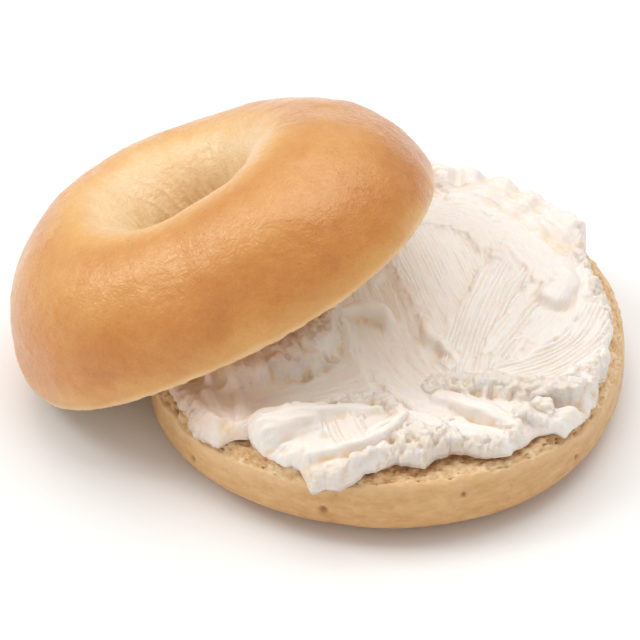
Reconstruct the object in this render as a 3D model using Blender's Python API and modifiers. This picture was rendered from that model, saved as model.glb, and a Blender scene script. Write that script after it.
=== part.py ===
"""A bagel cut across: the lower half is spread thick with soft cheese, and the upper half leans on it.

Every size below is in millimetres, and the meshes are written in metres. The shapes are worked out
about the middle of the lower half's base, and the whole model is then set over the world origin.
"""

import math

import bmesh
import bpy
import numpy as np
from mathutils import Vector

MM = 0.001
GAP = 0.3  # clearance between pieces that touch

# The ring of bread, seen from above: how many turns, cosine share, sine share.
LOWER_WAVES = [(2, -0.011, 0.049), (3, -0.024, -0.008)]
UPPER_WAVES = [(2, -0.044, -0.030), (3, -0.025, -0.027)]
UPPER_CROWN_WAVES = [(1, 0.026, -0.073), (2, -0.054, -0.003)]
RING_STEPS = 72

# Lower half
LOWER_RADIUS = 55.0
LOWER_WIDEST_Z = 7.4
LOWER_RIM_RADIUS = 50.8  # where the cut face starts to bend down
SHOULDER = 2.6  # power of the curve from the widest place up to the cut
SHOULDER_RADIUS = 52.6  # where the spread starts to hang over the rim
LOWER_CUT_Z = 16.8
BASE_OUTER = 43.5
BASE_INNER = 21.0
BASE_ROUNDING = 2.4  # power of the curve from the base up to the widest place
NECK_RADIUS = 9.0

# Upper half, in its own frame with the cut at z = 0
UPPER_RADIUS = 49.6
UPPER_RIM_RADIUS = 49.0
UPPER_WIDEST_Z = 3.3
CROWN_RADIUS = 25.7
CROWN_HEIGHT = 29.2
RIM_CORNER = 0.8
HOLE_RADIUS = 8.2
OUTER_ROUNDNESS = 1.84
INNER_ROUNDNESS = 2.07
LEAN = math.radians(30.4)
LEAN_TOWARDS = math.radians(161.4)
UPPER_CENTRE = (-36.3, 9.3, 25.6)

# Spread
SPREAD_CELLS = 50
SPREAD_LEVEL = 4.8
SPREAD_UNDERSIDE = LOWER_CUT_Z + GAP
FLAT_MARGIN = 1.0  # how far inside the shoulder the underside is flat again
THINNEST_SPREAD = 0.9
EDGE_SINK = 0.4  # share of its thickness that the spread loses towards its edge
PLUG_RADIUS = 7.6
PLUG_SAG = 2.4
PRESSED_GAP = 0.6  # what stays free under the upper half's cut

CRUST_COLOUR = (0.60, 0.25, 0.07, 1.0)
BASE_CRUST_COLOUR = (0.58, 0.34, 0.17, 1.0)
CHEESE_COLOUR = (0.90, 0.85, 0.78, 1.0)


def uneven(angle, terms):
    """1 plus gentle waves round the ring."""
    waves = (cosine * np.cos(turns * angle) + sine * np.sin(turns * angle) for turns, cosine, sine in terms)
    return 1.0 + sum(waves)


def clear_scene():
    for old in list(bpy.data.objects):
        bpy.data.objects.remove(old, do_unlink=True)


def material(name, colour, roughness):
    made = bpy.data.materials.new(name)
    made.use_nodes = True
    shader = made.node_tree.nodes["Principled BSDF"]
    shader.inputs["Base Color"].default_value = colour
    shader.inputs["Roughness"].default_value = roughness
    shader.inputs["Metallic"].default_value = 0.0
    return made


def add_object(name, mesh, collection, finish):
    made = bpy.data.objects.new(name, mesh)
    collection.objects.link(made)
    mesh.materials.clear()
    mesh.materials.append(finish)
    return made


def turned_ring(name, profile):
    """A mesh turned from a closed profile of (radius, z) that runs down its outer side."""
    outline = bpy.data.meshes.new(name)
    points = [(radius * MM, 0.0, z * MM) for radius, z in profile]
    count = len(points)
    outline.from_pydata(points, [(i, (i + 1) % count) for i in range(count)], [])
    guide = bpy.data.objects.new(name, outline)
    bpy.context.scene.collection.objects.link(guide)
    screw = guide.modifiers.new("Turn", "SCREW")
    screw.axis = "Z"
    screw.steps = RING_STEPS
    screw.render_steps = RING_STEPS
    screw.use_merge_vertices = True
    screw.merge_threshold = 0.00005
    graph = bpy.context.evaluated_depsgraph_get()
    mesh = bpy.data.meshes.new_from_object(guide.evaluated_get(graph))
    bpy.data.objects.remove(guide, do_unlink=True)
    return mesh


def shape_ring(mesh, radius_waves, height_waves):
    """Gives a turned ring the uneven outline and height of hand-shaped dough."""
    points = np.empty(len(mesh.vertices) * 3)
    mesh.vertices.foreach_get("co", points)
    points = points.reshape(-1, 3)
    angle = np.arctan2(points[:, 1], points[:, 0])
    points[:, :2] *= uneven(angle, radius_waves)[:, None]
    points[:, 2] *= uneven(angle, height_waves)
    mesh.vertices.foreach_set("co", points.ravel())
    mesh.update()
    mesh.shade_smooth()


def lower_profile():
    """Cut face from the hole outwards, down the crust, in along the base and up the hole."""
    cut = [(radius, LOWER_CUT_Z) for radius in np.linspace(14.0, LOWER_RIM_RADIUS, 6)]
    shoulder = []
    for share in np.sin(np.radians([78, 64, 50, 34, 16])):
        bulge = (LOWER_RADIUS - LOWER_RIM_RADIUS) * (1 - share**SHOULDER) ** (1 / SHOULDER)
        height = LOWER_WIDEST_Z + (LOWER_CUT_Z - LOWER_WIDEST_Z) * share
        shoulder.append((LOWER_RIM_RADIUS + bulge, height))
    below = []
    for share in (0.0, 0.3, 0.55, 0.75, 0.9, 1.0):
        bend = (LOWER_RADIUS - BASE_OUTER) * share**BASE_ROUNDING
        below.append((LOWER_RADIUS - bend, LOWER_WIDEST_Z * (1 - share)))
    base = [(32.0, 0.0), (BASE_INNER, 0.0)]
    hole = []
    for share in (0.12, 0.32, 0.6, 1.0):
        flare = (BASE_INNER - NECK_RADIUS) * (1 - share) ** 2
        hole.append((NECK_RADIUS + flare, LOWER_CUT_Z * share))
    return cut + shoulder + below + base + hole


def upper_profile():
    """Crown outwards and down the crust to the rim, in along the cut face and up the hole."""
    outer = []
    for turn in np.radians([90, 76, 62, 49, 37, 26, 16, 7, 0]):
        reach = (UPPER_RADIUS - CROWN_RADIUS) * math.cos(turn) ** (2 / OUTER_ROUNDNESS)
        rise = (CROWN_HEIGHT - UPPER_WIDEST_Z) * math.sin(turn) ** (2 / OUTER_ROUNDNESS)
        outer.append((CROWN_RADIUS + reach, UPPER_WIDEST_Z + rise))
    rim = [
        (UPPER_RIM_RADIUS + 0.35, 1.0),
        (UPPER_RIM_RADIUS, RIM_CORNER * 0.35),
        (UPPER_RIM_RADIUS - RIM_CORNER, 0.0),
    ]
    cut = [(radius, 0.0) for radius in (40.0, 31.0, 22.0, 14.0, HOLE_RADIUS + 0.5)]
    inner = []
    for turn in np.radians([10, 24, 38, 52, 65, 78]):
        reach = (CROWN_RADIUS - HOLE_RADIUS) * math.cos(turn) ** (2 / INNER_ROUNDNESS)
        rise = CROWN_HEIGHT * math.sin(turn) ** (2 / INNER_ROUNDNESS)
        inner.append((CROWN_RADIUS - reach, rise))
    return outer + rim + cut + inner


def lid_height(x, y):
    """How high the upper half's cut plane lies over the base at a place."""
    lean_x = math.sin(LEAN) * math.cos(LEAN_TOWARDS)
    lean_y = math.sin(LEAN) * math.sin(LEAN_TOWARDS)
    fall = lean_x * (x - UPPER_CENTRE[0]) + lean_y * (y - UPPER_CENTRE[1])
    return UPPER_CENTRE[2] - fall / math.cos(LEAN)


def step(low, high, value):
    """0 below low, 1 above high, and a smooth rise between."""
    share = np.clip((value - low) / (high - low), 0.0, 1.0)
    return share * share * (3 - 2 * share)


def rough(x, y, scale, seed):
    """Smooth seeded noise from -1 to 1 with bumps about one scale across."""
    size = 64
    table = np.random.default_rng(seed).uniform(-1, 1, (size, size))
    u, v = x / scale + size / 2, y / scale + size / 2
    i, j = np.floor(u).astype(int), np.floor(v).astype(int)
    a, b = u - i, v - j
    a, b = a * a * (3 - 2 * a), b * b * (3 - 2 * b)
    i0, j0, i1, j1 = i % size, j % size, (i + 1) % size, (j + 1) % size
    low = table[i0, j0] * (1 - a) + table[i1, j0] * a
    high = table[i0, j1] * (1 - a) + table[i1, j1] * a
    return low * (1 - b) + high * b


def smooth_path(points, per_span=8):
    """Points of a smooth curve through a few given ones."""
    p = np.array([points[0], *points, points[-1]], float)
    out = []
    for a, b, c, d in zip(p[:-3], p[1:-2], p[2:-1], p[3:]):
        for t in np.arange(per_span) / per_span:
            pull = 2 * b + (c - a) * t + (2 * a - 5 * b + 4 * c - d) * t**2
            out.append(0.5 * (pull + (3 * b - a - 3 * c + d) * t**3))
    out.append(p[-2])
    return np.array(out)


def walk(x, y, points):
    """For each place: the path's share at its nearest point, and its distance to the left of the path."""
    path = smooth_path(points)
    start, run = path[:-1], np.diff(path, axis=0)
    length = np.linalg.norm(run, axis=1)
    before = np.concatenate([[0], np.cumsum(length)[:-1]])
    best, share, left = np.full(x.shape, np.inf), np.zeros(x.shape), np.zeros(x.shape)
    for k in range(len(start)):
        dx, dy = x - start[k, 0], y - start[k, 1]
        t = np.clip((dx * run[k, 0] + dy * run[k, 1]) / length[k] ** 2, 0, 1)
        away = np.hypot(dx - t * run[k, 0], dy - t * run[k, 1])
        side = np.where(run[k, 0] * dy < run[k, 1] * dx, -1.0, 1.0)
        closer = away < best
        best = np.where(closer, away, best)
        share = np.where(closer, (before[k] + t * length[k]) / length.sum(), share)
        left = np.where(closer, side * away, left)
    return share, left


class Spread:
    """How thick the soft cheese lies at each place, changed stroke by stroke."""

    def __init__(self, x, y):
        self.x, self.y = x, y
        self.h = SPREAD_LEVEL + 0.6 * rough(x, y, 17.0, 3) + 0.3 * rough(x, y, 7.0, 5)

    def smear(self, path, half, levels, hollow=0.0, lip=0.0, tilt=0.0, ragged=0.6, seed=1):
        """A stroke of the knife: inside its width the spread takes the blade's level, with a lip beside it."""
        s, d = walk(self.x, self.y, path)
        wide = half * (0.75 + 0.25 * np.sin(np.pi * np.clip(s, 0.04, 0.96)))
        outside = np.abs(d) - wide + ragged * rough(self.x, self.y, 2.6, seed)
        inside = step(1.0, -1.0, outside)
        across = np.clip(d / wide, -1.2, 1.2)
        level = np.interp(s, np.linspace(0, 1, len(levels)), levels)
        blade = level + hollow * (across**2 - 0.4) + tilt * across
        ends = np.sin(np.pi * np.clip(s, 0, 1)) ** 0.4
        edge = lip * ends * np.exp(-(((outside - 0.3) / 1.1) ** 2))
        self.h = self.h * (1 - inside) + blade * inside + edge

    def roll(self, path, half, tops, foot=3.0, lumpy=0.0, seed=1):
        """A fold or ridge of spread with a round back, laid over what is there."""
        s, d = walk(self.x, self.y, path)
        top = np.interp(s, np.linspace(0, 1, len(tops)), tops) + lumpy * rough(self.x, self.y, 4.0, seed)
        wide = np.interp(s, np.linspace(0, 1, len(half)), half)
        round_back = np.sqrt(np.clip(1 - (d / wide) ** 2, 0, 1))
        fold = foot + (top - foot) * round_back
        over = step(0.0, 0.35, round_back) * np.clip((fold - self.h + 1.2) / 2.4, 0, 1)
        self.h = self.h + (np.maximum(fold, self.h) - self.h) * over

    def heap(self, centre, reach, top, foot=None):
        """A round lump or lobe."""
        away = np.hypot((self.x - centre[0]) / reach[0], (self.y - centre[1]) / reach[1])
        low = self.h if foot is None else foot
        self.h = np.maximum(self.h, low + (top - low) * np.sqrt(np.clip(1 - away**2.4, 0, 1)))

    def crease(self, path, half, depth):
        """A cleft between two folds."""
        s, d = walk(self.x, self.y, path)
        ends = np.sin(np.pi * np.clip(s, 0.02, 0.98)) ** 0.4
        self.h = self.h - depth * ends * np.clip(1 - np.abs(d) / half, 0, 1)


def lay_middle(c):
    """The bank round the back and right, and the broad strokes over the middle."""
    back = [(-22, 46), (-4, 49), (8, 50.5), (15, 50), (22, 48.5), (28, 45), (34, 40), (38.5, 35), (42, 30)]
    c.roll(back, [8.5, 9, 9, 9, 7.5, 6.5], [8.8, 9.8, 10.6, 10.2, 9.8, 9.0], 4.2, 0.4, 11)
    c.roll([(39, 32.5), (42.4, 30), (46, 28.8)], [3.6, 3.4, 2.4], [9.0, 10.8, 12.2], 5.0, 0.0, 12)
    c.roll([(45.5, 26.6), (47.4, 23.6), (46.6, 19.6)], [3.2, 3.6, 2.8], [9.0, 9.4, 7.8], 4.5, 0.0, 13)
    c.roll(
        [(42, 17.5), (45.5, 12), (47, 4), (47.5, -4), (46.5, -12), (45.5, -20)],
        [4.4, 3.8, 4.2], [8.0, 7.0, 6.6, 6.4], 3.6, 0.7, 14,
    )
    c.smear(
        [(6, 40), (18, 36), (27, 28), (31, 18), (31.5, 8)],
        8.2, [6.9, 7.1, 7.1, 6.9], 0.2, 0.1, 0.15, 1.2, 21,
    )
    c.smear(
        [(-8, 44), (1, 40), (8, 26), (14, 6), (17, -4)],
        10.6, [5.9, 5.8, 5.4, 5.2], 0.3, 0.25, -0.6, 1.0, 22,
    )
    c.smear(
        [(27, 15), (22.5, 4), (18.5, -8), (15.5, -21)],
        6.8, [6.8, 6.4, 6.0, 5.6], 0.2, 0.3, 0.2, 1.0, 24,
    )
    c.smear([(35.5, 6), (30.5, -2), (26, -10), (22, -17)], 4.6, [7.1, 6.8, 6.3], 0.2, 0.3, -0.3, 0.8, 25)
    c.smear(
        [(47.5, -1), (44.5, -9), (38.5, -16), (31.5, -21), (24, -24)],
        5.2, [6.6, 6.3, 6.1, 6.2], 0.5, 0.35, 0.2, 0.8, 27,
    )
    c.roll(
        [(33, 22), (37.5, 13), (38.2, 7), (36, 1.8)],
        [4.2, 4.4, 4.2, 4.0], [7.3, 8.0, 8.8, 9.0], 6.2, 0.0, 28,
    )


def lay_trough(c):
    """The mound that the upper half is pressed into, and the deep stroke beside it."""
    foot = [(-40, -33), (-31, -30), (-22, -25.6), (-15, -21), (-11.5, -13), (-10, -4), (-9, 8), (-20, 36)]
    s, d = walk(c.x, c.y, foot)
    wall = 4.4 + 5.2 * step(0.0, 4.5, d + 0.7 * rough(c.x, c.y, 3.0, 401)) + 0.28 * np.maximum(d, 0)
    c.h = np.where(d > -0.5, wall, c.h)
    c.smear(
        [(-31, -33), (-22, -29.5), (-13, -25.5), (-6, -24)],
        3.6, [4.3, 4.4, 4.2], -0.2, 0.0, 0.2, 0.5, 41,
    )
    c.smear(
        [(-6, 10), (-3, -2), (-0.5, -12), (3.5, -22), (8, -29)],
        7.8, [4.6, 4.2, 3.8, 4.2, 5.0], 1.5, 0.0, 0.0, 0.4, 43,
    )
    c.roll(
        [(-11.6, -5), (-10.8, -11), (-9.8, -17), (-8.2, -23), (-6.6, -27.5)],
        [2.4, 2.4, 1.8], [7.6, 6.5, 5.6, 4.4], 3.6, 0.0, 44,
    )
    c.roll(
        [(6.6, -4), (7.6, -9.5), (10.4, -12.6), (12.8, -16.2), (13.5, -19)],
        [2.2, 2.2, 1.6], [6.4, 6.8, 6.6, 6.2], 4.0, 0.0, 45,
    )
    c.roll(
        [(-12, -2.5), (-7.5, -0.6), (-3.6, -1.4), (-1.2, -3.4)],
        [2.2, 2.4, 2.0], [8.2, 8.6, 7.4], 4.6, 0.0, 46,
    )


def lay_front_right(c):
    """The craggy ridge, the sheet below it and the lumps along the front right edge."""
    ridge = [(9, -26.5), (15, -26.3), (22, -27.0), (29, -28.6), (36, -29.0), (44.5, -28.6)]
    c.roll(ridge, [3.4, 3.8, 4.2, 3.6, 2.8], [5.6, 6.6, 7.6, 7.9, 6.8], 3.6, 0.6, 51)
    c.smear(
        [(24, -40.5), (31, -38.2), (38, -35.0), (44, -30.5)],
        4.4, [4.6, 4.3, 3.9, 3.2], -0.1, 0.25, 1.1, 0.5, 52,
    )
    c.crease([(32, -32.6), (36, -31.6), (41, -31.0), (45, -31.6)], 1.8, 2.6)
    c.roll(
        [(9.0, -30.8), (14, -33.4), (19.5, -36.6), (25.5, -39.8)],
        [2.4, 3.0, 3.0, 2.0], [6.2, 7.2, 7.4, 6.2], 4.2, 0.0, 54,
    )
    c.smear(
        [(0, -38.5), (9, -41.2), (17, -43.0), (24, -43.6)],
        2.6, [6.2, 5.9, 5.8, 5.2], -0.3, 0.3, 0.5, 0.7, 55,
    )
    lumps = (
        ((27.0, -36.2), (2.8, 2.4), 7.3),
        ((31.0, -33.6), (2.8, 2.2), 7.2),
        ((4.6, -46.4), (6.4, 6.0), 7.2),
        ((12.8, -46.4), (4.8, 3.4), 5.4),
        ((17.2, -46.0), (3.6, 3.2), 5.2),
        ((21.6, -47.6), (3.9, 3.4), 5.6),
        ((-0.4, -49.2), (3.6, 3.6), 5.0),
    )
    for centre, reach, top in lumps:
        c.heap(centre, reach, top, 2.4)


def lay_front_left(c):
    """The rolled fold with its pocket, the ribbon below it and the lobes at the left."""
    c.smear([(-44, -30), (-38, -36), (-32, -41)], 6.0, [5.6, 5.2, 4.6], -0.3, 0.0, 0.3, 0.5, 61)
    lobes = (((-42.2, -40.4), (5.8, 6.2), 6.2), ((-49.8, -27.6), (4.2, 3.6), 5.0), ((-47.4, -31.4), (3.8, 3.6), 5.0))
    for centre, reach, top in lobes:
        c.heap(centre, reach, top, 1.3)
    c.roll(
        [(-36.5, -22), (-35.4, -29), (-34.4, -36), (-33.4, -42)],
        [2.4, 2.6, 2.6, 2.0], [8.6, 7.0, 6.0, 4.6], 3.2, 0.0, 62,
    )
    c.roll(
        [(-41.5, -29.5), (-38.8, -34.5), (-36.4, -40.5), (-34.2, -44.5)],
        [2.4, 2.4, 1.8], [6.8, 6.0, 5.0, 3.8], 3.0, 0.0, 63,
    )
    c.smear(
        [(-33.5, -47), (-27, -50.4), (-18, -51.6), (-8, -49)],
        4.8, [3.6, 3.6, 3.8, 4.6], -0.5, 0.0, -0.3, 0.4, 65,
    )
    c.roll(
        [(-24.5, -53.0), (-18.5, -54.0), (-12.0, -53.2), (-7.0, -50.6), (-3.2, -46.8)],
        [2.6, 3.2, 2.6], [3.6, 4.6, 5.6, 6.4, 6.4], 1.4, 0.0, 67,
    )
    ribbon = [(-26.2, -51.4), (-21.2, -49.0), (-14.0, -47.8), (-7.2, -46.6), (-2.4, -42.8), (0.9, -38.6)]
    c.roll(ribbon, [2.0, 2.9, 3.2, 3.2, 3.0, 2.4], [5.0, 6.2, 7.0, 7.8, 8.4, 7.6], 2.0, 0.0, 68)
    c.roll(
        [(-17.6, -33.2), (-11.6, -32.2), (-5.2, -32.0), (-0.8, -34.8), (1.2, -38.6)],
        [2.2, 2.2, 2.0], [6.6, 7.2, 7.2, 6.8], 3.8, 0.0, 69,
    )
    rolled_fold = [(-28.6, -40.8), (-25.0, -40.4), (-20.0, -38.4), (-14.0, -36.2), (-8.4, -35.2), (-4.0, -35.2)]
    c.roll(rolled_fold, [5.2, 5.2, 4.2, 2.9, 2.2, 1.8], [9.2, 9.6, 8.8, 7.4, 6.5, 6.2], 2.4, 0.0, 70)


def spread_thickness(x, y):
    """How thick the spread lies at a place, in the order in which the knife made it."""
    cheese = Spread(x, y)
    for lay in (lay_middle, lay_trough, lay_front_right, lay_front_left):
        lay(cheese)
    pressed = lid_height(x, y) - LOWER_CUT_Z - PRESSED_GAP
    return np.clip(np.minimum(cheese.h - GAP, pressed - GAP), THINNEST_SPREAD, None)


# The edge of the spread, seen from above: (angle in degrees, how far it reaches).
SPREAD_EDGE = [
    (-155, 56.2), (-147, 56.0), (-140, 57.6), (-134, 56.6), (-129, 52.6), (-123, 54.0), (-113, 54.8),
    (-109, 56.9), (-103.5, 56.2), (-98, 53.0), (-90, 48.6), (-84.5, 50.4), (-76, 46.6), (-66, 51.2),
    (-62, 51.6), (-54, 49.6), (-46, 52.4), (-38, 52.8), (-26, 50.6), (-14, 50.2), (0, 50.6), (14, 51.2),
    (26, 52.4), (32, 54.6), (40, 54.6), (52, 54.4), (64, 55.4), (82, 54.6), (100, 52.5), (122, 50.0),
    (142, 47.0), (165, 45.0), (186, 46.0), (199, 53.0),
]


def spread_reach(angle):
    """The edge's radius at each angle, smooth between the named places."""
    around = sorted(((a + 360) % 360, r) for a, r in SPREAD_EDGE)
    degrees = np.array([a for a, _ in around])
    radii = np.array([r for _, r in around])
    return np.interp(np.degrees(angle) % 360, degrees, radii, period=360)


def underside(x, y):
    """The height of the spread's underside, which hangs over the rim where it reaches past the shoulder."""
    shoulder = SHOULDER_RADIUS * uneven(np.arctan2(y, x), LOWER_WAVES)
    return SPREAD_UNDERSIDE - np.maximum(np.hypot(x, y) - shoulder, 0)


def spread_mesh():
    """A grid drawn out to the spread's edge, with a side wall and an underside that sags into the hole."""
    form = bmesh.new()
    bmesh.ops.create_grid(form, x_segments=SPREAD_CELLS, y_segments=SPREAD_CELLS, size=1.0)
    u = np.array([vert.co.x for vert in form.verts])
    v = np.array([vert.co.y for vert in form.verts])
    # the square grid is drawn onto a disc, which keeps its cells nearly even
    disc_u, disc_v = u * np.sqrt(1 - v * v / 2), v * np.sqrt(1 - u * u / 2)
    angle, share = np.arctan2(disc_v, disc_u), np.hypot(disc_u, disc_v)
    reach = share * spread_reach(angle)
    x, y = reach * np.cos(angle), reach * np.sin(angle)
    z = underside(x, y) + spread_thickness(x, y) * (1 - EDGE_SINK * step(0.92, 1.0, share))
    for vert, place in zip(form.verts, zip(x, y, z)):
        vert.co = Vector(place) * MM
    edge = [e for e in form.edges if e.is_boundary]
    # rings from the upper edge down and in: the share of the wall's height left, and the way inwards
    for height, inwards in ((0.45, -0.4), (0.0, 0.9)):
        edge, ring = next_ring(form, edge)
        for vert in ring:
            flat = vert.co.xy / MM
            flat = flat * (1 - inwards / flat.length)
            foot = float(underside(*flat))
            vert.co = Vector((*flat, foot + (vert.co.z / MM - foot) * height)) * MM
    # back onto the flat of the cut face before the underside runs in to the hole
    edge, ring = next_ring(form, edge)
    for vert in ring:
        flat = vert.co.xy / MM
        flat_end = SHOULDER_RADIUS * uneven(math.atan2(flat.y, flat.x), LOWER_WAVES) - FLAT_MARGIN
        flat = flat * (min(flat.length - FLAT_MARGIN, flat_end) / flat.length)
        vert.co = Vector((*flat, SPREAD_UNDERSIDE)) * MM
    for radius, sag in ((PLUG_RADIUS, 0.0), (PLUG_RADIUS * 0.5, PLUG_SAG)):
        edge, ring = next_ring(form, edge)
        for vert in ring:
            flat = vert.co.xy.normalized() * radius
            vert.co = Vector((*flat, SPREAD_UNDERSIDE - sag)) * MM
    bmesh.ops.contextual_create(form, geom=edge)
    bmesh.ops.recalc_face_normals(form, faces=form.faces)
    mesh = bpy.data.meshes.new("cream_cheese")
    form.to_mesh(mesh)
    form.free()
    mesh.shade_smooth()
    return mesh


def next_ring(form, edge):
    """Draws a closed edge out into another ring: its edges and its vertices."""
    made = bmesh.ops.extrude_edge_only(form, edges=edge)["geom"]
    ring = [g for g in made if isinstance(g, bmesh.types.BMVert)]
    return [g for g in made if isinstance(g, bmesh.types.BMEdge) and g.is_boundary], ring


def centre_over_origin(parent):
    """Sets the model so that its box stands on the origin."""
    bpy.context.view_layer.update()
    corners = [child.matrix_world @ v.co for child in parent.children for v in child.data.vertices]
    low = Vector([min(c[i] for c in corners) for i in range(3)])
    high = Vector([max(c[i] for c in corners) for i in range(3)])
    parent.location = -Vector(((low.x + high.x) / 2, (low.y + high.y) / 2, low.z))
    bpy.context.view_layer.update()
    print("middle of the lower half is at", tuple(round(c, 6) for c in parent.location))
    print("overall size", tuple(round(c, 6) for c in high - low))


def main():
    clear_scene()
    bagel = bpy.data.collections.new("bagel")
    bpy.context.scene.collection.children.link(bagel)
    whole = bpy.data.objects.new("bagel_middle", None)
    bagel.objects.link(whole)

    lower_mesh = turned_ring("lower_half", lower_profile())
    shape_ring(lower_mesh, LOWER_WAVES, [])
    lower = add_object("lower_half", lower_mesh, bagel, material("base_crust", BASE_CRUST_COLOUR, 0.7))

    upper_mesh = turned_ring("upper_half", upper_profile())
    shape_ring(upper_mesh, UPPER_WAVES, UPPER_CROWN_WAVES)
    upper = add_object("upper_half", upper_mesh, bagel, material("crust", CRUST_COLOUR, 0.45))
    upper.location = Vector(UPPER_CENTRE) * MM
    upper.rotation_euler = (LEAN, 0.0, LEAN_TOWARDS + math.pi / 2)

    spread = add_object("cream_cheese", spread_mesh(), bagel, material("cream_cheese", CHEESE_COLOUR, 0.5))

    for piece in (lower, upper, spread):
        piece.parent = whole
    centre_over_origin(whole)


main()
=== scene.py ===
"""A bagel cut across, its lower half spread thick with soft cheese and its upper half leaning on it.

The halves are grids wrapped round the same profiles as the solids, and the spread is a grid drawn out to
its ragged edge, worked with the strokes of a knife. Shapes are in millimetres about the middle of the lower
half's base, and meshes are written in metres in the frame of the solids.
"""

import math

import bmesh
import bpy
import numpy as np
from mathutils import Euler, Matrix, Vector


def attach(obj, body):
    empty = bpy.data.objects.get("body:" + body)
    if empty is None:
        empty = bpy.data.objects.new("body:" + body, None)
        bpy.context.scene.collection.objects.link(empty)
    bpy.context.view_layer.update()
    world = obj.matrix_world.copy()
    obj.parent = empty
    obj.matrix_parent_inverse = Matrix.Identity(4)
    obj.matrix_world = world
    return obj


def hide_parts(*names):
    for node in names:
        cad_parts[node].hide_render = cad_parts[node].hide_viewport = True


bl_info = {
    "name": "Bagel with soft cheese",
    "version": (1, 0, 0),
    "blender": (4, 5, 0),
    "location": "3D View > Sidebar > Bagel",
    "description": "Builds a bagel cut across and spread with soft cheese, and its studio",
    "category": "Object",
}

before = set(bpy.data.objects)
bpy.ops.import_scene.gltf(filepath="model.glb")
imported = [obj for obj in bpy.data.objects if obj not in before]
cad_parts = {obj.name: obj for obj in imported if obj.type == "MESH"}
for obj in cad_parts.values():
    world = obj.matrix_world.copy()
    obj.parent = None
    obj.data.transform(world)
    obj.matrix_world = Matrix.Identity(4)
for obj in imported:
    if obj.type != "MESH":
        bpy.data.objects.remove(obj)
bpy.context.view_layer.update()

MM = 0.001
FULL_TURN = 2 * math.pi
MIDDLE = np.array([17.194, -1.496, 0.0])  # the middle of the lower half's base, in the frame of the solids

# Waves round the ring of bread: how many turns, cosine share, sine share
LOWER_WAVES = [(2, -0.011, 0.049), (3, -0.024, -0.008)]
UPPER_WAVES = [(2, -0.044, -0.030), (3, -0.025, -0.027)]
UPPER_CROWN_WAVES = [(1, 0.026, -0.073), (2, -0.054, -0.003)]

LOWER_RADIUS = 55.0
LOWER_WIDEST_Z = 7.4
LOWER_RIM_RADIUS = 50.8
SHOULDER = 2.6  # power of the curve from the widest place up to the cut
SHOULDER_RADIUS = 52.6  # where the cut face starts to fall away
LOWER_CUT_Z = 16.8
BASE_OUTER = 43.5
BASE_INNER = 21.0
BASE_ROUNDING = 2.4
NECK_RADIUS = 9.0

# Brown spots on the lower crust: the angle in degrees, the height and the reach
BROWN_SPOTS = [
    (-107.0, 9.0, 1.1), (-105.5, 4.6, 0.7), (-142.0, 8.0, 0.9),
    (-42.0, 9.0, 0.8), (-75.0, 12.8, 0.7), (70.0, 8.0, 0.9),
]

UPPER_RADIUS = 49.6
UPPER_RIM_RADIUS = 49.0
UPPER_WIDEST_Z = 3.3
CROWN_RADIUS = 25.7
CROWN_HEIGHT = 29.2
HOLE_RADIUS = 8.2
OUTER_ROUNDNESS = 1.84
INNER_ROUNDNESS = 2.07
LEAN = math.radians(30.4)
LEAN_TOWARDS = math.radians(161.4)
UPPER_CENTRE = np.array([-36.3, 9.3, 25.6])

# How the cut of the lower half runs over its shoulder, except where the crust reaches highest
CUT_BORDER = 57.0
CRUST_REACH = 4.4
CRUST_REACH_WIDTH = 27.0  # degrees
CRUST_REACH_TURN = math.radians(80)

# Steps round the rings of bread and points of their profiles, and cells along each side of the spread
LOWER_AROUND = 620
LOWER_POINTS = 158
UPPER_AROUND = 520
UPPER_POINTS = 188
SPREAD_CELLS = 296

# The crumb is painted darker the deeper it is torn, as painted shade in its tears and air cells
PORE_SHADE_DEPTH = 1.4  # how deep the crumb is torn where it looks darkest

# How well the crust is baked, from 0 for the palest to 1, and what each place adds to it or takes away
LOWER_BAKE = 0.42
BASE_BROWNER = 0.30
LOW_SIDE_BROWNER = 0.12
UPPER_BAKE = 0.80
CROWN_BROWNER = 0.18
MOTTLE = 0.022
RIM_PALER = 0.24
# Over the top the crust is painted paler as a sheen; towards the hole it is paler both in its own colour
# and as painted sheen
TOP_PAINTED_SHEEN = 0.17
LIP_PALER_AND_PAINTED_SHEEN = 0.38
HOLE_PALER = 0.18

SPREAD_BASE = LOWER_CUT_Z + 0.3
PLUG_RADIUS = 7.6
PLUG_SAG = 2.4
PRESSED_GAP = 0.35

CAMERA_PLACE = (-16.96, -523.9, 433.0)
CAMERA_PITCH = math.radians(90.0 - 38.3)
CAMERA_LENS = 164.5
SENSOR_WIDTH = 36.0
CLIP_END = 10.0

# The studio, in metres: each light's name, place, width and height, and colour
FLOOR_SIZE = 4.0
FLOOR_DROP = 0.0002
LIGHT_TARGET = (0, 0, 0.02)
LIGHTS = [
    ("key_light", (0.12, 0.5, 2.0), (2.0, 1.6), (1.0, 0.988, 0.973)),
    ("side_light", (-1.3, 0.2, 1.35), (0.7, 0.7), (1.0, 0.99, 0.975)),
    ("front_light", (-0.9, -1.2, 1.2), (1.6, 1.2), (1.0, 0.99, 0.98)),
]
ROOM_COLOUR = (1, 0.992, 0.985, 1)


# What a user may change


def linear(red, green, blue):
    """A colour given as 0 to 255 in sRGB, as linear values."""

    def one(value):
        share = value / 255
        return share / 12.92 if share <= 0.04045 else ((share + 0.055) / 1.055) ** 2.4

    return (one(red), one(green), one(blue), 1.0)


def length(name, description, size):
    """A property that holds a length, given in millimetres."""
    return bpy.props.FloatProperty(
        name=name, description=description, default=size * MM, min=0, unit="LENGTH", precision=5
    )


def power(name, description, watts):
    """A property that holds a light's power."""
    return bpy.props.FloatProperty(name=name, description=description, default=watts, min=0, unit="POWER")


def colour(name, description, red, green, blue):
    """A property that holds a colour, given as 0 to 255 in sRGB."""
    return bpy.props.FloatVectorProperty(
        name=name,
        description=description,
        default=linear(red, green, blue),
        size=4,
        min=0,
        max=1,
        subtype="COLOR",
    )


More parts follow.
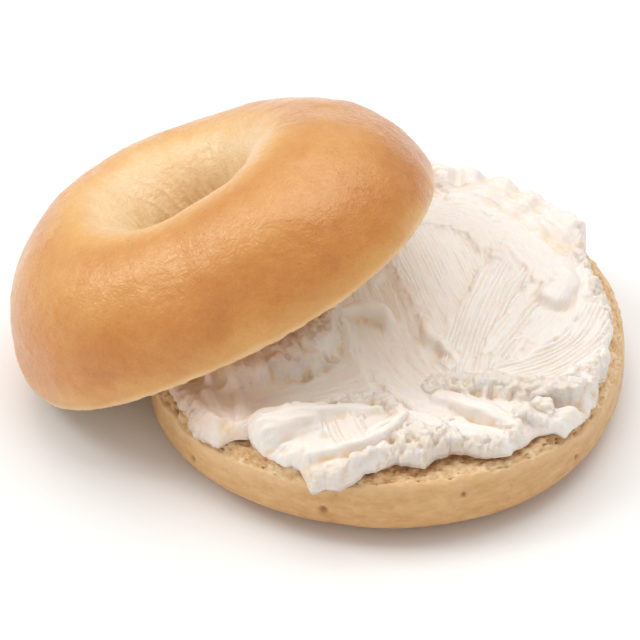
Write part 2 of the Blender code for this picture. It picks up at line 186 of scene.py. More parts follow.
class BagelSizes(bpy.types.PropertyGroup):
    """Sizes that a user may change."""

    crumb_depth: length("Crumb depth", "How deep the open crumb of the lower half is torn", 1.3)
    wrinkle_depth: length("Wrinkles", "How deep the folds in the upper half's hole are", 0.24)
    spread_level: length("Spread", "How thick the cheese lies before the knife works it", 4.8)
    groove_depth: length("Grooves", "How deep the knife's fine grooves look", 0.3)
    crag_height: length("Crags", "How high torn cheese stands", 0.78)


class BagelColours(bpy.types.PropertyGroup):
    """Colours that a user may change, from the palest crust to the darkest."""

    upper_pale: colour("Hole", "The palest crust of the upper half", 247, 228, 190)
    upper_light: colour("Rim", "The light crust of the upper half", 242, 208, 158)
    upper_golden: colour("Golden crust", "The crust round the crown", 229, 172, 94)
    upper_brown: colour("Brown crust", "The well baked crust", 206, 133, 55)
    upper_dark: colour("Dark crust", "The darkest crust of the upper half", 172, 98, 36)
    lower_pale: colour("Pale crust below", "The palest crust of the lower half", 244, 218, 178)
    lower_light: colour("Light crust below", "The light crust of the lower half", 223, 178, 120)
    lower_brown: colour("Brown crust below", "The well baked crust of the lower half", 200, 146, 84)
    lower_dark: colour("Dark crust below", "The darkest crust of the lower half", 166, 108, 58)
    crumb: colour("Crumb", "The cut face of the bread", 247, 224, 186)
    # painted shade: the colour that the crumb's deepest tears and air cells darken to
    painted_pore_shade: colour("Deep crumb", "The bottoms of the crumb's air cells", 146, 94, 52)
    cheese: colour("Cheese", "The soft cheese", 249, 241, 236)
    # painted shade: the colour that the cheese's clefts and hollows darken to
    painted_cleft_shade: colour("Cheese in clefts", "The cheese where it lies deep", 238, 208, 156)


class BagelLights(bpy.types.PropertyGroup):
    """Lights of the studio."""

    key: power("Key light", "Power of the large light overhead", 22.0)
    side: power("Side light", "Power of the small light at the left", 8.6)
    front: power("Front light", "Power of the soft light in front", 1.0)
    fill: bpy.props.FloatProperty(
        name="Fill", description="Strength of the white surroundings", default=0.61, min=0
    )


# Noise and small tools


def step(low, high, value):
    """0 below low, 1 above high, and a smooth rise between."""
    share = np.clip((value - low) / (high - low), 0.0, 1.0)
    return share * share * (3 - 2 * share)


def rough(x, y, scale, seed):
    """Smooth seeded noise from -1 to 1 with bumps about one scale across."""
    size = 128
    table = np.random.default_rng(seed).uniform(-1, 1, (size, size))
    u, v = x / scale + size / 2, y / scale + size / 2
    i, j = np.floor(u).astype(int), np.floor(v).astype(int)
    a, b = u - i, v - j
    a, b = a**3 * (a * (6 * a - 15) + 10), b**3 * (b * (6 * b - 15) + 10)
    i0, j0, i1, j1 = i % size, j % size, (i + 1) % size, (j + 1) % size
    low = table[i0, j0] * (1 - a) + table[i1, j0] * a
    high = table[i0, j1] * (1 - a) + table[i1, j1] * a
    return low * (1 - b) + high * b


def rougher(x, y, scale, seed, layers=3):
    """Noise of several sizes, each half as large and half as strong."""
    total = 0.0
    for layer in range(layers):
        turn = 0.7 + layer
        u, v = x * math.cos(turn) - y * math.sin(turn), x * math.sin(turn) + y * math.cos(turn)
        total = total + rough(u, v, scale / 2**layer, seed + layer) / 2**layer
    return total


def rough3(points, scale, seed):
    """Smooth seeded noise in space from -1 to 1."""
    size = 48
    table = np.random.default_rng(seed).uniform(-1, 1, (size, size, size))
    place = points / scale + 7.3
    whole = np.floor(place).astype(int)
    part = place - whole
    part = part**3 * (part * (6 * part - 15) + 10)
    total = 0.0
    for corner in np.ndindex(2, 2, 2):
        index = (whole + corner) % size
        weight = np.prod(np.where(np.array(corner) == 1, part, 1 - part), axis=1)
        total = total + table[index[:, 0], index[:, 1], index[:, 2]] * weight
    return total


def rougher3(points, scale, seed, layers=3):
    """Noise in space of several sizes, each half as large and half as strong."""
    total = 0.0
    for layer in range(layers):
        turned = points[:, [layer % 3, (layer + 1) % 3, (layer + 2) % 3]]
        total = total + rough3(turned, scale / 2**layer, seed + layer) / 2**layer
    return total


def cells3(points, scale, seed):
    """How far off the nearest of the seeded centres lies, and that centre's own number from 0 to 1."""
    size = 32
    jitter = np.random.default_rng(seed).uniform(0, 1, (size, size, size, 3))
    kind = np.random.default_rng(seed + 1).uniform(0, 1, (size, size, size))
    place = points / scale
    whole = np.floor(place).astype(int)
    nearest = np.full(len(points), 9.0)
    which = np.zeros(len(points))
    for offset in np.ndindex(3, 3, 3):
        cell = whole + np.array(offset) - 1
        index = cell % size
        centre = cell + jitter[index[:, 0], index[:, 1], index[:, 2]]
        away = np.linalg.norm(place - centre, axis=1)
        closer = away < nearest
        nearest = np.where(closer, away, nearest)
        which = np.where(closer, kind[index[:, 0], index[:, 1], index[:, 2]], which)
    return nearest * scale, which


def uneven(angle, terms):
    """1 plus gentle waves round the ring."""
    share = np.ones_like(angle)
    for turns, cosine, sine in terms:
        share += cosine * np.cos(turns * angle) + sine * np.sin(turns * angle)
    return share


# Rings of bread


def lower_profile():
    """The lower half's outline as (radius, z): cut face outwards, crust down, base in and hole up."""
    points = [(r, LOWER_CUT_Z) for r in (NECK_RADIUS + 0.6, 20.0, 35.0, 44.0, LOWER_RIM_RADIUS)]
    for share in np.sin(np.radians(np.linspace(84, 2, 24))):
        bulge = (LOWER_RADIUS - LOWER_RIM_RADIUS) * (1 - share**SHOULDER) ** (1 / SHOULDER)
        points.append((LOWER_RIM_RADIUS + bulge, LOWER_WIDEST_Z + (LOWER_CUT_Z - LOWER_WIDEST_Z) * share))
    for share in np.linspace(0, 1, 24):
        bend = (LOWER_RADIUS - BASE_OUTER) * share**BASE_ROUNDING
        points.append((LOWER_RADIUS - bend, LOWER_WIDEST_Z * (1 - share)))
    points += [(38.0, 0.0), (32.0, 0.0), (26.0, 0.0), (BASE_INNER, 0.0)]
    for share in np.linspace(0.05, 0.97, 18):
        flare = (BASE_INNER - NECK_RADIUS) * (1 - share) ** 2
        points.append((NECK_RADIUS + flare, LOWER_CUT_Z * share))
    return np.array(points)


def upper_profile():
    """The upper half's outline in its own frame: crown outwards, crust down, cut in and hole up."""
    points = []
    for turn in np.radians(np.linspace(90, 0, 60)):
        reach = (UPPER_RADIUS - CROWN_RADIUS) * math.cos(turn) ** (2 / OUTER_ROUNDNESS)
        rise = (CROWN_HEIGHT - UPPER_WIDEST_Z) * math.sin(turn) ** (2 / OUTER_ROUNDNESS)
        points.append((CROWN_RADIUS + reach, UPPER_WIDEST_Z + rise))
    points += [(UPPER_RIM_RADIUS + 0.42, 1.6), (UPPER_RIM_RADIUS + 0.2, 0.8)]
    for a in np.radians([20, 45, 70, 90]):
        points.append((UPPER_RIM_RADIUS - 0.8 * (1 - math.cos(a)), 0.8 * (1 - math.sin(a))))
    points += [(r, 0.0) for r in (46.0, 40.0, 31.0, 22.0, 14.0, HOLE_RADIUS + 0.6)]
    for turn in np.radians(np.linspace(6, 87, 40)):
        reach = (CROWN_RADIUS - HOLE_RADIUS) * math.cos(turn) ** (2 / INNER_ROUNDNESS)
        rise = CROWN_HEIGHT * math.sin(turn) ** (2 / INNER_ROUNDNESS)
        points.append((CROWN_RADIUS - reach, rise))
    return np.array(points)


def spaced_profile(points, count, cell_at):
    """The closed outline with its points as near together as cell_at (radius, z) asks."""
    closed = np.vstack([points, points[:1]])
    fine = []
    for a, b in zip(closed[:-1], closed[1:]):
        pieces = max(2, int(np.linalg.norm(b - a) / 0.05))
        fine.append(a + (b - a) * (np.arange(pieces) / pieces)[:, None])
    fine = np.vstack([*fine, closed[-1:]])
    length = np.linalg.norm(np.diff(fine, axis=0), axis=1)
    wanted = np.concatenate([[0], np.cumsum(length / cell_at(fine[:-1, 0], fine[:-1, 1]))])
    place = np.linspace(0, wanted[-1], count, endpoint=False)
    return np.stack([np.interp(place, wanted, fine[:, k]) for k in (0, 1)], axis=1)


def new_grid(name, across, along):
    """A flat grid, with each vertex's step across and along it."""
    bpy.ops.object.select_all(action="DESELECT")
    bpy.ops.mesh.primitive_grid_add(x_subdivisions=across, y_subdivisions=along, size=2.0)
    made = bpy.context.active_object
    made.name = name
    made.data.name = name
    flat = np.empty(len(made.data.vertices) * 3)
    made.data.vertices.foreach_get("co", flat)
    flat = flat.reshape(-1, 3)
    i = np.rint((flat[:, 0] + 1) / 2 * across).astype(int)
    j = np.rint((flat[:, 1] + 1) / 2 * along).astype(int)
    return made, i, j


def write_points(piece, points):
    """Puts a piece's vertices at points, in millimetres about the middle of the base."""
    piece.data.vertices.foreach_set("co", ((points + MIDDLE) * MM).astype(np.float32).ravel())
    piece.data.update()


def face_outwards(piece):
    """Turns every face of a closed piece outwards."""
    bpy.ops.object.select_all(action="DESELECT")
    piece.select_set(True)
    bpy.context.view_layer.objects.active = piece
    bpy.ops.object.mode_set(mode="EDIT")
    bpy.ops.mesh.select_all(action="SELECT")
    bpy.ops.mesh.remove_doubles(threshold=0.001 * MM)
    bpy.ops.mesh.normals_make_consistent(inside=False)
    bpy.ops.object.mode_set(mode="OBJECT")
    bpy.ops.object.shade_smooth()


def set_attribute(piece, name, values):
    """Stores one number for each vertex, which the materials read."""
    made = piece.data.attributes.new(name, "FLOAT", "POINT")
    made.data.foreach_set("value", np.ascontiguousarray(values, np.float32))


def outline_normals(profile):
    """Outward unit normals (radius, z) of a closed outline whose inside lies to its right."""
    ahead = np.roll(profile, -1, axis=0) - np.roll(profile, 1, axis=0)
    normal = np.stack([-ahead[:, 1], ahead[:, 0]], axis=1)
    return normal / np.maximum(np.linalg.norm(normal, axis=1, keepdims=True), 1e-9)


def crumb_relief(points):
    """How far a cut face of bread sinks at each point: fine tears and open air cells."""
    torn = 0.26 * (1 + rougher3(points, 1.9, 301)) + 0.14 * (1 + rough3(points, 0.7, 305))
    away, kind = cells3(points * [1, 1, 1.6], 3.4, 311)
    wide = 0.25 + 1.1 * kind**5
    pores = 0.9 * step(wide, 0.3 * wide, away)
    small, kind = cells3(points * [1, 1, 1.4], 1.1, 317)
    pores = np.maximum(pores, 0.5 * step(0.42, 0.12, small) * (kind > 0.45))
    return torn + pores


class Bread:
    """One half of the bread: where its vertices are, and what each one is made of."""

    def __init__(self, name, profile, around, waves, crown_waves):
        self.piece, i, j = new_grid(name, around, len(profile))
        i, j = i % around, j % len(profile)
        angle = i / around * 2 * np.pi
        radius, height = profile[j, 0], profile[j, 1]
        self.radius, self.height, self.angle = radius, height, angle
        out, up = outline_normals(profile)[j].T
        self.normal = np.stack([out * np.cos(angle), out * np.sin(angle), up], axis=1)
        r = radius * uneven(angle, waves)
        lift = uneven(angle, crown_waves)
        self.points = np.stack([r * np.cos(angle), r * np.sin(angle), height * lift], axis=1)

    def push(self, amount):
        """Moves each vertex outwards by its own amount."""
        self.points = self.points + self.normal * np.asarray(amount)[:, None]


def blisters(points, scale, seed, share, size):
    """Small round bumps, on some of the cells only."""
    away, kind = cells3(points, scale, seed)
    reach = size * (0.5 + kind)
    return np.clip(1 - (away / reach) ** 2, 0, 1) ** 1.5 * (kind < share)


def build_lower(sizes):
    """The lower half: matt, paler crust all round, an open cut face and the hole from beneath."""

    def cell_at(r, z):
        on_cut = z > LOWER_CUT_Z - 3.6
        cell = np.where(on_cut & (r > 12), np.where(r > 45, 0.25, np.where(r > 42, 0.6, 2.6)), 0.42)
        return np.where((z < 0.3) & (r < 42), 1.5, np.where((r < 22) & (z > 0.3), 0.9, cell))

    profile = spaced_profile(lower_profile(), LOWER_POINTS, cell_at)
    bread = Bread("lower_half_baked", profile, LOWER_AROUND, LOWER_WAVES, [])
    base = bread.points.copy()
    r, z = bread.radius, bread.height
    # the crust reaches highest at the front, and the cut runs over the shoulder at the sides
    outwards = r + LOWER_CUT_Z - z + 0.8 * rougher3(base, 3.0, 41) + 0.5 * rough3(base, 0.9, 45)
    front = np.degrees((bread.angle + CRUST_REACH_TURN + np.pi) % FULL_TURN - np.pi)
    border = CUT_BORDER - CRUST_REACH * np.exp(-((front / CRUST_REACH_WIDTH) ** 2))
    cut = step(border + 0.35, border - 0.35, outwards) * (r > 10.5) * (z > 10)
    torn_rim = step(border + 3.0, border, outwards) * (z > 10)
    crust = 1 - cut
    flat_base = z < 0.05
    soft = 0.30 * rougher3(base, 11.0, 51, 2) + 0.07 * rough3(base, 3.2, 57)
    wrinkle = 0.10 * np.abs(rough3(base * [1, 1, 2.2], 2.0, 61))
    wrinkle += 0.05 * rough3(base * [1, 1, 2.5], 0.9, 63)
    pits = blisters(base, 9.0, 71, 0.35, 0.55)
    dents = blisters(base, 16.0, 77, 0.5, 3.0)
    for place, level, reach in BROWN_SPOTS:
        away = np.hypot(np.angle(np.exp(1j * (bread.angle - math.radians(place)))) * r, z - level)
        pits = np.maximum(pits, np.clip(1 - (away / reach) ** 2, 0, 1) ** 0.7 * 1.6)
    sink = np.where(flat_base, 0.0, soft * 0.6 + 0.12 - wrinkle - 0.35 * pits - 0.25 * dents)
    fade = step(0.0, 1.5, z)
    bread.push(crust * fade * np.minimum(sink, 0.0) + crust * fade * np.maximum(sink, 0) * 0.8)
    relief = sizes.crumb_depth / MM * crumb_relief(base)
    bread.push(-cut * relief * step(10.5, 12.0, r))
    bread.push(torn_rim * (1 - cut) * (0.15 + 0.25 * rougher3(base, 1.9, 83)))
    write_points(bread.piece, bread.points)
    # browner beneath, and a little browner low on the side
    under = step(2.0, 0.0, z) * step(BASE_OUTER + 4, BASE_OUTER - 2, r)
    bake = LOWER_BAKE + BASE_BROWNER * under + LOW_SIDE_BROWNER * step(12, 4, z)
    set_attribute(bread.piece, "crumb", cut)
    # how deep the crumb is torn, which the material turns into painted shade
    set_attribute(bread.piece, "depth", np.clip(relief / PORE_SHADE_DEPTH, 0, 1) * cut)
    set_attribute(bread.piece, "bake", np.clip(bake, 0, 1))
    set_attribute(bread.piece, "rim", step(border + 4.5, border + 0.5, outwards) * (z > 8) * (r > 45))
    set_attribute(bread.piece, "speck", np.clip(pits * 1.4, 0, 2) * crust)
    face_outwards(bread.piece)
    return bread.piece


def lean_over(points):
    """Takes points of the upper half's own frame to where it leans."""
    turn = np.array(Euler((LEAN, 0.0, LEAN_TOWARDS + math.pi / 2)).to_matrix())
    return points @ turn.T + UPPER_CENTRE


def build_upper(sizes):
    """The upper half: a plump golden crown with a soft shine, a pale hole and an open cut face beneath."""

    def cell_at(r, z):
        on_cut = z < 0.02
        cell = np.where(on_cut, np.where(r > 40, 0.55, 0.8), 0.5)
        return np.where((r < CROWN_RADIUS) & ~on_cut, 0.5, cell)

    profile = spaced_profile(upper_profile(), UPPER_POINTS, cell_at)
    bread = Bread("upper_half_baked", profile, UPPER_AROUND, UPPER_WAVES, UPPER_CROWN_WAVES)
    base = bread.points.copy()
    r, z, angle = bread.radius, bread.height, bread.angle
    cut = step(0.75, 0.15, z + 0.25 * rougher3(base, 2.2, 141)) * (r > HOLE_RADIUS + 0.5)
    crust = 1 - cut
    soft = 0.45 * rougher3(base, 14.0, 151, 2) + 0.10 * rough3(base, 4.0, 157)
    inside = step(CROWN_RADIUS - 9, HOLE_RADIUS + 1, r) * step(0.3, 2.0, z)
    # folds run up the hole: a wide set and a fine one
    fold = np.sin(angle * 19 + 5 * rough3(base, 9.0, 159) + 0.12 * z) * 0.5
    fold += np.sin(angle * 37 + 6 * rough3(base, 7.0, 161)) * 0.45
    radial = inside * sizes.wrinkle_depth / MM * fold
    radial += inside * 0.12 * rougher3(base * [1, 1, 0.6], 2.6, 163)
    away, kind = cells3(base, 3.4, 171)
    patchy = step(-0.1, 0.6, rough3(base, 16.0, 173))
    blister = 0.13 * np.clip(1 - (away / (0.5 + 1.1 * kind)) ** 2, 0, 1) * patchy
    skin = 0.05 * rougher3(base, 1.6, 181) - 0.05 * np.abs(rough3(base, 2.4, 187))
    edge_fade = step(0.0, 2.0, z)
    bread.push(crust * (edge_fade * (soft + 0.05) + radial + blister + skin * edge_fade))
    relief = crumb_relief(base + [90, 0, 0])
    bread.points[:, 2] += cut * relief
    write_points(bread.piece, lean_over(bread.points))
    # paler along the rim, over the top as painted sheen, towards the hole as paler crust and painted sheen,
    # and browner just outside the crown
    band = step(9.0, 0.5, z + 1.6 * rougher3(base, 12.0, 191, 2)) * (r > 40)
    mottled = rougher3(base, 9.0, 197)
    pale_hole = step(CROWN_RADIUS - 2, HOLE_RADIUS + 8, r) * step(0.3, 2.0, z)
    top = step(13, 28, z) * step(CROWN_RADIUS - 6, CROWN_RADIUS + 4, r)
    lip = step(CROWN_RADIUS + 10, CROWN_RADIUS - 4, r)
    crown = CROWN_BROWNER * np.exp(-(((r - CROWN_RADIUS - 3) / 5.0) ** 2))
    bake = UPPER_BAKE + MOTTLE * mottled - RIM_PALER * band - TOP_PAINTED_SHEEN * top
    bake = bake - LIP_PALER_AND_PAINTED_SHEEN * lip - HOLE_PALER * pale_hole + crown
    # painted shade deep down in the hole
    set_attribute(bread.piece, "deep", pale_hole * step(27, 12, z + 0.8 * fold))
    set_attribute(bread.piece, "crumb", cut)
    # how deep the crumb is torn, which the material turns into painted shade
    set_attribute(bread.piece, "depth", np.clip(relief / PORE_SHADE_DEPTH, 0, 1) * cut)
    set_attribute(bread.piece, "bake", np.clip(bake, 0, 1))
    set_attribute(bread.piece, "rim", step(2.6, 0.6, z + 0.5 * rough3(base, 5.0, 199)) * (r > 40) * crust)
    set_attribute(bread.piece, "speck", blisters(base, 7.0, 203, 0.18, 0.5) * crust)
    face_outwards(bread.piece)
    return bread.piece


# Spread


def smooth_path(points, per_span=8):
    """Points of a smooth curve through a few given ones."""
    p = np.array([points[0], *points, points[-1]], float)
    out = []
    for k in range(1, len(p) - 2):
        a, b, c, d = p[k - 1], p[k], p[k + 1], p[k + 2]
        for t in np.arange(per_span) / per_span:
            pull = 2 * b + (c - a) * t + (2 * a - 5 * b + 4 * c - d) * t**2
            out.append(0.5 * (pull + (3 * b - a - 3 * c + d) * t**3))
    out.append(p[-2])
    return np.array(out)


def walk(x, y, points):
    """Where each place lies by a path: (share of its length, distance to its left, length, past an end)."""
    path = smooth_path(points)
    start, run = path[:-1], np.diff(path, axis=0)
    length = np.linalg.norm(run, axis=1)
    before = np.concatenate([[0], np.cumsum(length)[:-1]])
    best = np.full(x.shape, np.inf)
    share, left, past = np.zeros(x.shape), np.zeros(x.shape), np.zeros(x.shape)
    for k in range(len(start)):
        dx, dy = x - start[k, 0], y - start[k, 1]
        free = (dx * run[k, 0] + dy * run[k, 1]) / length[k] ** 2
        t = np.clip(free, 0, 1)
        away = np.hypot(dx - t * run[k, 0], dy - t * run[k, 1])
        side = (run[k, 0] * dy - run[k, 1] * dx) / length[k]
        over = np.zeros(x.shape)
        if k == 0:
            over = np.maximum(-free, 0) * length[k]
        if k == len(start) - 1:
            over = np.maximum(over, np.maximum(free - 1, 0) * length[k])
        closer = away < best
        best = np.where(closer, away, best)
        share = np.where(closer, (before[k] + t * length[k]) / length.sum(), share)
        left = np.where(closer, np.where(over > 0, side, np.where(side < 0, -away, away)), left)
        past = np.where(closer, over, past)
    return share, left, length.sum(), past


class Spread:
    """Soft cheese on the cut face: a height over it at each place, changed stroke by stroke."""

    def __init__(self, x, y, level):
        self.x, self.y = x, y
        self.h = np.full(x.shape, level)
        self.comb = np.zeros(x.shape)
        self.comb_depth = np.zeros(x.shape)
        self.stroke = np.stack([x, y, np.zeros(x.shape)], axis=1)
        self.torn = np.zeros(x.shape)
        self.fine = np.zeros(x.shape)

    def along(self, values, share):
        """A value given in steps along a path, at each place's share of it."""
        return np.interp(share, np.linspace(0, 1, len(np.atleast_1d(values))), np.atleast_1d(values))

    def pulled(self, mask, s, d, long, seed):
        """Notes which way the cheese was drawn, as (along, across, stroke)."""
        here = np.stack([s * long, d, np.full(s.shape, seed * 3.7)], axis=1)
        self.stroke = np.where(mask[:, None], here, self.stroke)

    def smear(
        self, path, half, levels, hollow=0.0, lip=0.0, tilt=0.0, ragged=0.6, comb=0.0, groove=0.0,
        soft=0.7, seed=1, fan=0.0, streaks=0.12, end=1.0,
    ):
        """A stroke of the knife: the cheese takes the blade's level, with a torn lip at its sides."""
        s, d, long, past = walk(self.x, self.y, path)
        wide = self.along(half, s)
        torn = ragged * (rough(self.x, self.y, 3.4, seed) + 0.6 * rough(self.x, self.y, 1.5, seed + 1))
        fingers = 1.6 * rough(d / 1.3, s * 0, 1.0, seed + 8) + 0.8 * rough(d / 0.6, s * 0, 1.0, seed + 9)
        past_end = (past - end + fingers) * (past > 0) - 9.0 * (past <= 0)
        outside = np.maximum(np.abs(d) - wide + torn, past_end)
        inside = step(soft, -soft, outside)
        across = np.clip(d / wide, -1.2, 1.2)
        blade = self.along(levels, s) + hollow * (across**2 - 0.4) + tilt * across
        lines = streaks * rough(s * long / 9, d / 1.3, 1.0, seed + 5)
        lines += 0.7 * streaks * rough(s * long / 6, d / 0.7, 1.0, seed + 6)
        self.fine = self.fine * (1 - inside) + lines * inside
        self.h = self.h * (1 - inside) + blade * inside
        if lip:
            near_end = np.where(past > 0, 0.6, 1.0)
            shape = np.exp(-(((outside - 0.2) / 0.5) ** 2))
            wavy = np.clip(0.35 + 1.2 * rough(self.x, self.y, 2.3, seed + 2), 0, 1.5)
            self.h = self.h + lip * near_end * shape * wavy
            self.torn = np.maximum(self.torn * (1 - inside), 0.7 * shape * np.clip(wavy, 0, 1))
        phase = 0.0
        if comb:
            phase = d * (1 + fan * (s - 0.5)) / comb + 0.35 * rough(s * long / 8, d / 3, 1.0, seed + 3)
        worn = step(-0.35, 0.35, rough(s * long / 9, d / 1.6, 1.0, seed + 4) + 0.35)
        depth = groove * step(-0.2, -1.2, outside) * (0.2 + 0.9 * worn)
        self.comb = np.where(inside > 0.5, phase, self.comb)
        self.comb_depth = self.comb_depth * (1 - inside) + depth * inside
        self.torn = self.torn * (1 - step(0.2, -0.6, outside))
        self.pulled(inside > 0.5, s, d, long, seed)

    def roll(
        self, path, half, tops, foot=3.0, lumps=0.0, skew=0.0, round_=0.5, seed=1, torn=0.0, streaks=0.24
    ):
        """A fold or ridge with a round back, laid over what is there. Skew steepens its right side."""
        s, d, long, past = walk(self.x, self.y, path)
        wobble = 0.35 * rough(self.x, self.y, 4.0, seed + 9)
        wobble += 0.15 * rough(self.x, self.y, 1.6, seed + 10)
        wide = self.along(half, s) * (1 + 0.15 * lumps * rough(self.x, self.y, 3.0, seed + 7))
        d = d + wobble
        half_here = wide * np.where(d < 0, 1 - skew, 1 + skew)
        u = np.clip(np.hypot(d / half_here, past / wide), 0, 1)
        back = np.clip(1 - u**2, 0, 1) ** round_
        top = self.along(tops, s) + lumps * rougher(self.x, self.y, 3.2, seed, 2)
        lines = rough(s * long / 8, d / 1.3, 1.0, seed + 5)
        lines = streaks * (lines + 0.8 * rough(s * long / 5, d / 0.7, 1.0, seed + 6))
        fold = foot + (top - foot) * back
        over = (fold > self.h).astype(float) * step(0.0, 0.2, back)
        self.h = np.where(over > 0, self.h + (fold - self.h) * step(0.0, 0.3, back), self.h)
        self.comb_depth = self.comb_depth * (1 - over)
        self.torn = np.where(over > 0, torn, self.torn)
        self.fine = np.where(over > 0, lines, self.fine)
        self.pulled(over > 0, s, d, long, seed)

    def heap(self, centre, reach, top, power=2.0, foot=None, turn=0.0, torn=0.0):
        """A round lump or lobe."""
        c, s = math.cos(turn), math.sin(turn)
        dx, dy = self.x - centre[0], self.y - centre[1]
        u, v = (c * dx + s * dy) / reach[0], (-s * dx + c * dy) / reach[1]
        away = np.hypot(u, v) * (1 + 0.30 * rougher(self.x, self.y, 2.6, 907) * (1 + torn))
        back = np.clip(1 - away**power, 0, 1) ** 0.5
        top = top + (0.3 + 0.5 * torn) * rougher(self.x, self.y, 1.7, 911)
        low = self.h if foot is None else foot
        lump = low + (top - low) * back
        over = lump > self.h
        self.h = np.where(over & (back > 0), self.h + (lump - self.h) * step(0, 0.3, back), self.h)
        self.comb_depth = np.where(over & (back > 0.2), 0.0, self.comb_depth)
        self.torn = np.where(over & (back > 0.2), torn, self.torn)

    def pit(self, centre, reach, depth, power=2.0):
        """A small round crater."""
        away = np.hypot((self.x - centre[0]) / reach[0], (self.y - centre[1]) / reach[1])
        self.h = self.h - depth * np.clip(1 - away**power, 0, 1)

    def crease(self, path, half, depth, seed=1):
        """A narrow cleft between two folds."""
        s, d, _, past = walk(self.x, self.y, path)
        d = np.hypot(d, past)
        d = d + 0.4 * rough(self.x, self.y, 2.0, seed)
        ends = np.sin(np.pi * np.clip(s, 0.02, 0.98)) ** 0.4
        self.h = self.h - depth * ends * np.clip(1 - np.abs(d) / half, 0, 1) ** 0.7

    def crags(self, path, half, amount, scale=2.2, seed=1):
        """Torn, lumpy cheese along a path."""
        s, d, _, past = walk(self.x, self.y, path)
        d = np.hypot(d, past)
        mask = step(1.0, 0.45, np.abs(d) / self.along(half, s))
        ridged = 1 - 2 * np.abs(rougher(self.x, self.y, scale, seed, 3))
        self.h = self.h + amount * mask * ridged
        self.comb_depth = self.comb_depth * (1 - 0.8 * mask)
        self.torn = np.maximum(self.torn, mask)


def lid_height(x, y):
    """How high the upper half's cut plane lies at a place."""
    lean_x = math.sin(LEAN) * math.cos(LEAN_TOWARDS)
    lean_y = math.sin(LEAN) * math.sin(LEAN_TOWARDS)
    fall = lean_x * (x - UPPER_CENTRE[0]) + lean_y * (y - UPPER_CENTRE[1])
    return UPPER_CENTRE[2] - fall / math.cos(LEAN)


def under_lid(x, y):
    """How far a place lies inside the upper half's outline seen from above."""
    dx, dy = x - UPPER_CENTRE[0], y - UPPER_CENTRE[1]
    along = (dx * math.cos(LEAN_TOWARDS) + dy * math.sin(LEAN_TOWARDS)) / math.cos(LEAN)
    across = dy * math.cos(LEAN_TOWARDS) - dx * math.sin(LEAN_TOWARDS)
    return UPPER_RIM_RADIUS - np.hypot(along, across)


